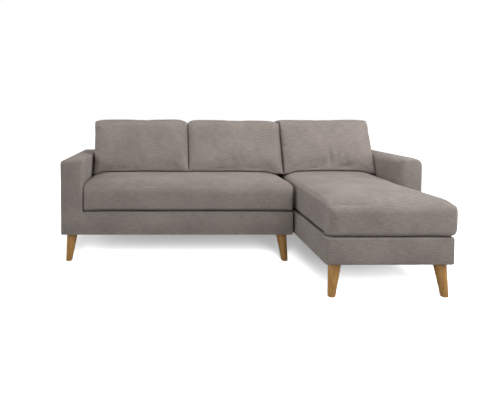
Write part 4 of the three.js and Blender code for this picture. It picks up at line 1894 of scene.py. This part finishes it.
@dataclass
class StapledDustCloth:
    """The dust cloth under a section, stapled along its edges."""

    section: str
    body: str
    notch: tuple[float, float] | None = None
    pitch: float = 60 * MM
    droop: float = 0.25 * MM
    droops: float = 9.0
    thickness: float = 0.6 * MM
    staple: float = 11 * MM
    staple_inset: float = 7 * MM
    staple_pitch: float = 70 * MM
    wire: float = 0.6 * MM
    size: tuple[float, float] = field(init=False, default=(0.0, 0.0))
    area: float = field(init=False, default=0.0)
    outline: list[tuple[float, float]] = field(init=False, default_factory=list)

    def measure(self, low: Vector, high: Vector) -> None:
        """Works out the cloth's outline, size and area.

        Args:
            low: The node's lowest corner.
            high: Its highest corner.
        """
        self.size = (high.x - low.x, high.y - low.y)
        self.area = self.size[0] * self.size[1]
        corner = [(high.x, low.y)]
        if self.notch:
            x, y = self.notch
            corner = [(x, low.y), (x, y), (high.x, y)]
            self.area -= (high.x - x) * (y - low.y)
        self.outline = [(low.x, low.y), *corner, (high.x, high.y), (low.x, high.y)]

    def build(self, finishes: Finishes) -> list[Object]:
        """Makes the cloth and its row of staples.

        Args:
            finishes: The sofa's finishes.

        Returns:
            Both pieces.
        """
        node = f"{self.section}_dust_cover"
        low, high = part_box(node)
        self.measure(low, high)
        bm = bmesh.new()
        bm.faces.new([bm.verts.new((x, y, high.z)) for x, y in self.outline])
        slice_evenly(bm, self.pitch, (Axis.X, Axis.Y))
        bmesh.ops.recalc_face_normals(bm, faces=bm.faces)
        if bm.faces[:][0].normal.z > 0:
            bmesh.ops.reverse_faces(bm, faces=bm.faces)
        for vertex in bm.verts:
            vertex.co.z -= self.droop * (1 + noise.noise(vertex.co * self.droops))
        lay_cloth(bm, 0.0)
        cloth = finish_piece(f"{self.section}_dust_cloth", bm, self.body, [finishes.dust_cloth],
                             (node,))
        thicken(cloth, self.thickness)
        staples = finish_piece(f"{self.section}_staples", self.staples(low.z), self.body,
                               [finishes.zinc])
        return [cloth, staples]

    def staples(self, height: float) -> BMesh:
        """Sets staples along the cloth's edge.

        Args:
            height: The cloth's lower face.

        Returns:
            One mesh of all of them.
        """
        bm = bmesh.new()
        for (x0, y0), (x1, y1) in zip(self.outline, self.outline[1:] + self.outline[:1]):
            run = Vector((x1 - x0, y1 - y0, 0))
            inward = Vector((-run.y, run.x, 0)).normalized() * self.staple_inset
            count = max(2, round(run.length / self.staple_pitch))
            for i in range(count):
                at = Vector((x0, y0, height)) + run * ((i + 0.5) / count) + inward
                made = bmesh.ops.create_cube(bm, size=1.0)["verts"]
                sizes = (self.staple, self.wire, self.wire)
                bmesh.ops.scale(bm, vec=sizes, verts=made)
                turn = Matrix.Rotation(math.atan2(run.y, run.x), 4, "Z")
                bmesh.ops.transform(bm, matrix=Matrix.Translation(at) @ turn, verts=made)
        return bm


@dataclass
class FrameParts:
    """The timber and steel that are kept as packed, with their finishes."""

    def build(self, finishes: Finishes, nodes: dict[str, Object]) -> int:
        """Gives each kept node its material.

        Args:
            finishes: The sofa's finishes.
            nodes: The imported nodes.

        Returns:
            How many nodes were dressed.
        """
        dressed = 0
        for name, node in nodes.items():
            material = self.material_for(name, finishes)
            if material:
                node.data.materials.clear()
                node.data.materials.append(material)
                dressed += 1
        return dressed

    def material_for(self, name: str, finishes: Finishes) -> Material | None:
        """The material of a kept node.

        Args:
            name: The node's name.
            finishes: The sofa's finishes.

        Returns:
            The material, or None for a node that a piece replaces.
        """
        if "_plate" in name or name.startswith("connector_"):
            return finishes.zinc
        if name.endswith(("_rail", "_board")):
            low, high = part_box(name)
            return finishes.timber[max(Axis, key=lambda axis: (high - low)[axis.value])]
        return None


# Camera and studio


@dataclass(frozen=True)
class PhotoCamera:
    """The camera at the photograph's place, for a frame of 500 by 400 pixels."""

    place: tuple[float, float, float] = (-0.44326, -3.1555, 0.93692)
    pitch: float = 2.44
    focal: float = 499.52
    centre: tuple[float, float] = (168.41, 130.69)
    frame: tuple[int, int] = (500, 400)
    sensor: float = 36.0

    def build(self) -> Object:
        """Makes the camera and gives it to the scene.

        Returns:
            The camera.
        """
        data = bpy.data.cameras.new("photo_camera")
        camera = add_object("photo_camera", data)
        camera.location = self.place
        camera.rotation_euler = (math.radians(90 - self.pitch), 0, 0)
        data.sensor_width = self.sensor
        data.lens = self.focal / self.frame[0] * self.sensor
        data.shift_x = (self.frame[0] / 2 - self.centre[0]) / self.frame[0]
        data.shift_y = -(self.frame[1] / 2 - self.centre[1]) / self.frame[0]
        bpy.context.scene.camera = camera
        return camera


@dataclass(frozen=True)
class SoftLight:
    """A large square light, aimed at the sofa."""

    name: str
    place: tuple[float, float, float]
    aim: tuple[float, float, float]
    size: float
    power: float
    floor_only: bool = False

    def build(self, floor: Object) -> Object:
        """Makes the light.

        Args:
            floor: The studio floor, which some lights are flagged off to.

        Returns:
            The light's object.
        """
        data = bpy.data.lights.new(self.name, "AREA")
        data.shape = "SQUARE"
        data.size = self.size
        data.energy = self.power
        light = add_object(self.name, data)
        light.location = self.place
        way = Vector(self.aim) - Vector(self.place)
        light.rotation_euler = way.to_track_quat("-Z", "Y").to_euler()
        if self.floor_only:
            lit = bpy.data.collections.new(f"lit_by_{self.name}")
            lit.objects.link(floor)
            light.light_linking.receiver_collection = lit
        return light


@dataclass
class Studio:
    """A white studio: a pale floor, an even bright room and soft lights from above."""

    floor_size: float = 60.0
    floor_shade: float = 0.92
    floor_bounce: float = 0.14
    room: float = 0.1
    near: float = 1.6
    far: float = 3.6
    near_lift: float = 0.34
    far_lift: float = 1.0
    lights: tuple[SoftLight, ...] = (
        SoftLight("overhead", (0.0, -0.3, 3.6), (0.0, 0.1, 0.0), 4.5, 24.0),
        SoftLight("rear_top", (0.4, 1.6, 3.2), (0.0, -0.2, 0.5), 2.5, 22.0),
        SoftLight("chaise_top", (1.6, -1.4, 2.4), (0.65, -0.4, 0.5), 1.6, 34.0),
        SoftLight("right_side", (3.8, 0.3, 2.0), (0.0, 0.2, 0.5), 2.5, 31.0),
        SoftLight("low_right", (3.4, -1.6, 1.2), (0.2, 0.0, 0.5), 1.6, 20.0),
        SoftLight("left_side", (-3.8, 0.3, 2.0), (0.0, 0.2, 0.5), 2.5, 44.0),
        SoftLight("front_left", (-3.2, -3.5, 2.2), (-0.3, 0.0, 0.4), 2.5, 25.0),
        SoftLight("low_front", (0.2, -4.2, 0.9), (0.0, 0.0, 0.4), 2.0, 10.0),
        SoftLight("floor_wash", (0.0, -5.2, 2.7), (0.0, 0.0, 0.0), 3.0, 1000.0, floor_only=True),
    )

    def build(self) -> None:
        """Makes the floor, the room's light and the lamps."""
        bm = bmesh.new()
        bmesh.ops.create_grid(bm, x_segments=1, y_segments=1, size=self.floor_size / 2)
        floor = add_object("studio_floor", use_up(bm, "studio_floor"))
        material, tree, shader = new_material("matt_white_paper_painted_glow")
        self.only_seen(tree, shader.inputs["Base Color"], self.floor_bounce, self.floor_shade)
        set_up(shader, {"Roughness": 0.9, "Specular IOR Level": 0.0,
                        "Emission Color": (1, 1, 1, 1)})
        # Painted light: the floor glows for the camera alone, weakly near the sofa, which lightens
        # the sofa's shadow on it, and fully white farther off
        place = add_node(tree, "TexCoord").outputs["Object"]
        away = add_node(tree, "VectorMath", {"operation": "LENGTH"}, {0: place}).outputs["Value"]
        painted_glow = add_node(tree, "MapRange",
                        {"From Min": self.near, "From Max": self.far, "To Min": self.near_lift,
                         "To Max": self.far_lift}, {"Value": away})
        seen = self.only_seen(tree, shader.inputs["Emission Strength"], 0.0, 1.0)
        set_up(seen, links={"To Max": painted_glow})
        floor.data.materials.append(material)
        world = bpy.data.worlds.new("bright_room")
        bpy.context.scene.world = world
        world.use_nodes = True
        background = world.node_tree.nodes["Background"]
        background.inputs["Color"].default_value = (1, 1, 1, 1)
        self.only_seen(world.node_tree, background.inputs["Strength"], self.room, 1.0)
        for light in self.lights:
            light.build(floor)
        bpy.context.scene.view_settings.view_transform = "Standard"

    def only_seen(self, tree: NodeTree, socket: NodeSocket, lighting: float, seen: float) -> Node:
        """Gives a socket one value as light on the sofa and one as backdrop.

        Args:
            tree: The node tree.
            socket: The strength or the grey.
            lighting: Its value as light.
            seen: Its value as the camera sees it.

        Returns:
            The node that holds both values.
        """
        rays = add_node(tree, "LightPath").outputs["Is Camera Ray"]
        level = add_node(tree, "MapRange", {"To Min": lighting, "To Max": seen}, {"Value": rays})
        tree.links.new(level.outputs["Result"], socket)
        return level


@dataclass(frozen=True)
class SeatRoom:
    """How far the seat cushions reach to each side."""

    arm_clearance: float = 2.5 * MM
    over_end: float = 10 * MM
    chaise_left: float = 4 * MM
    free_from: float = 8 * MM
    free_over: float = 120 * MM
    free_spread: float = 22 * MM
    hidden_from: float = 215 * MM
    hidden_over: float = 50 * MM
    hidden_inset: float = 13 * MM

    def bench(self, points: np.ndarray) -> tuple[np.ndarray, np.ndarray]:
        """The bench cushion's limits, from the left arm to just past the section's end.

        Args:
            points: The cushion's points.

        Returns:
            The lowest and the highest x at each point.
        """
        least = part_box("left_arm_cover")[1].x + self.arm_clearance
        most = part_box("sofa_front_border")[1].x + self.over_end
        return np.full(len(points), least), np.full(len(points), most)

    def chaise(self, points: np.ndarray) -> tuple[np.ndarray, np.ndarray]:
        """The chaise cushion's limits, which are free in front of the arm.

        Its hidden rear corner is pulled in, which leaves room for the middle back cushion's
        end when the seat is lifted.

        Args:
            points: The cushion's points.

        Returns:
            The lowest and the highest x at each point.
        """
        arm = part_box("right_arm_cover")[0]
        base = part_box("chaise_front_border")[0]
        free = smooth_share((arm.y - self.free_from - points[:, 1]) / self.free_over)
        hidden = smooth_share((points[:, 1] - self.hidden_from) / self.hidden_over)
        least = base.x + self.chaise_left + self.hidden_inset * hidden
        return least, arm.x - self.arm_clearance + self.free_spread * free


def build_cushions(finishes: Finishes) -> list[Object]:
    """Makes the loose cushions, the seats first because the back cushions rest on them.

    Args:
        finishes: The sofa's finishes.

    Returns:
        The five cushions.
    """
    room = SeatRoom()
    seat_stuffing, back_stuffing = Stuffing(most=20 * MM), Stuffing(most=12 * MM)
    bench = SeatCushion(
        "bench_cushion", "bench_cushion", Axis.Z, edge=20 * MM, stuffing=seat_stuffing,
        offset=0.3, pitch=20 * MM, limits=room.bench, room_high=mm(16, 12, 8),
    ).build(finishes)
    chaise = SeatCushion(
        "chaise_cushion", "chaise_cushion", Axis.Z, edge=21 * MM, stuffing=seat_stuffing,
        offset=1.7, pitch=20 * MM, limits=room.chaise, room_low=mm(4, 6, 18),
        room_high=mm(16, 12, 7),
        crown=5 * MM, nose=64 * MM, shoulders=mm(28, 40), front_corners=mm(52, 38),
        slope=8 * MM, flare=mm(0, 18),
    ).build(finishes)
    boxes = [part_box(f"{place}_back_cushion") for place in ("left", "middle", "right")]
    first = (boxes[0][1].x + boxes[1][0].x) / 2
    second = (boxes[1][1].x + boxes[2][0].x) / 2
    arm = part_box("right_arm_cover")[0].x
    apart = 0.8 * MM
    # Where each cushion ends: the CAD's place, and what is added at the foot and at the top
    ends = [
        tuple(x + more for more in mm(*added))
        for x, added in ((boxes[0][0].x, (-28, -28)), (first, (3, 3)), (second, (16, 17)),
                         (arm, (-2, -3)))
    ]
    # Room beyond the node at the right and on top, and how far the right end sinks
    rooms = [mm(26, 6, 0), mm(34, 0, 5), mm(40, 3, -2)]
    corners = [mm(26, 62), mm(70, 46), mm(38, 38)]
    # Each fold's place across and along, its angle, its length, and its width and depth
    creases = [
        (Crease(0.25, 0.065, -50, 0.06, *mm(10, 11)),
         Crease(0.265, -0.03, -75, 0.09, *mm(10, 8)),
         Crease(-0.12, -0.150, 3, 0.20, *mm(10, 10))),
        (Crease(-0.08, -0.150, 4, 0.16, *mm(10, 11)),
         Crease(0.10, -0.145, -4, 0.12, *mm(10, 10))),
        (Crease(0.012, -0.075, 93, 0.10, *mm(9, 13)),
         Crease(0.060, -0.060, 84, 0.09, *mm(9, 13)),
         Crease(0.105, -0.080, 97, 0.09, *mm(9, 13)),
         Crease(-0.04, -0.115, 70, 0.05, *mm(9, 11)),
         Crease(0.110, -0.135, 12, 0.07, *mm(11, 16)),
         Crease(-0.09, -0.145, 8, 0.09, *mm(10, 13)),
         Crease(-0.275, 0.0, 10, 0.06, *mm(9, 13))),
    ]
    stands = [("left", (bench,), -4 * MM), ("middle", (bench, chaise), 0.0),
              ("right", (chaise,), 2 * MM)]
    backs = [
        BackCushion(
            f"{place}_back_cushion", f"{place}_back_cushion", Axis.Y, edge=12 * MM,
            stuffing=back_stuffing, creases=creases[i], pitch=13 * MM, offset=2.9 + 1.3 * i,
            seats=seats, lean=lean,
            left=tuple(end + apart for end in ends[i]),
            right=tuple(end - apart for end in ends[i + 1]), corners=corners[i],
            room_low=mm(30, 6, 24), room_high=(rooms[i][0], 14 * MM, rooms[i][1]),
            slump=rooms[i][2],
        ).build(finishes)
        for i, (place, seats, lean) in enumerate(stands)
    ]
    return [bench, chaise, *backs]


def build_sections(finishes: Finishes) -> None:
    """Makes the upholstery, decks, webbing and dust cloths of both sections.

    Args:
        finishes: The sofa's finishes.
    """
    ArmAndFront(
        "left_arm_and_front_upholstery", "sofa_section",
        ("left_arm_cover", "sofa_front_border", "sofa_end_cloth"), offset=0.1,
        radius=12 * MM, plump=6 * MM, reach=60 * MM, grow=4 * MM,
    ).build(finishes)
    FreeArm(
        "right_arm_upholstery", "chaise_section", ("right_arm_cover",), offset=0.8,
        radius=12 * MM, plump=6 * MM, reach=60 * MM, grow=4 * MM,
    ).build(finishes)
    ChaiseBase(
        "chaise_base_upholstery", "chaise_section",
        ("chaise_front_border", "chaise_left_border", "chaise_right_border"), offset=1.5,
        radius=10 * MM,
    ).build(finishes)
    for section in ("sofa", "chaise"):
        body = f"{section}_section"
        RakedBack(
            f"{section}_back_upholstery", body, (f"{section}_back_cover",), offset=2.2,
            node=f"{section}_back_cover",
        ).build(finishes)
        DeckPad(section, body).build(finishes)
        WovenWebbing(section, body).build(finishes)
    # The chaise's dust cloth is cut out in front of the arm
    edge = 12 * MM
    notch = (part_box("chaise_front_border")[1].x - edge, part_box("right_arm_cover")[0].y + edge)
    StapledDustCloth("sofa", "sofa_section").build(finishes)
    StapledDustCloth("chaise", "chaise_section", notch).build(finishes)


def build_legs(finishes: Finishes) -> None:
    """Makes the eight legs.

    Args:
        finishes: The sofa's finishes.
    """
    for section in ("sofa", "chaise"):
        for end, out_y in (("front", -1.0), ("rear", 1.0)):
            for side, out_x in (("left", -1.0), ("right", 1.0)):
                TurnedLeg(f"{section}_{end}_{side}_leg", f"{section}_section", out_x,
                          out_y).build(finishes)


def main() -> None:
    """Builds the whole scene."""
    logging.basicConfig(level=logging.INFO, format="%(relativeCreated)d ms %(name)s: %(message)s")
    for leftover in list(bpy.data.objects):
        bpy.data.objects.remove(leftover)
    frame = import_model()
    PhotoCamera().build()
    Studio().build()
    finishes = Finishes()
    log.info("dressed %d kept nodes", FrameParts().build(finishes, frame["nodes"]))
    build_sections(finishes)
    build_legs(finishes)
    build_cushions(finishes)


if __name__ == "__main__":
    main()
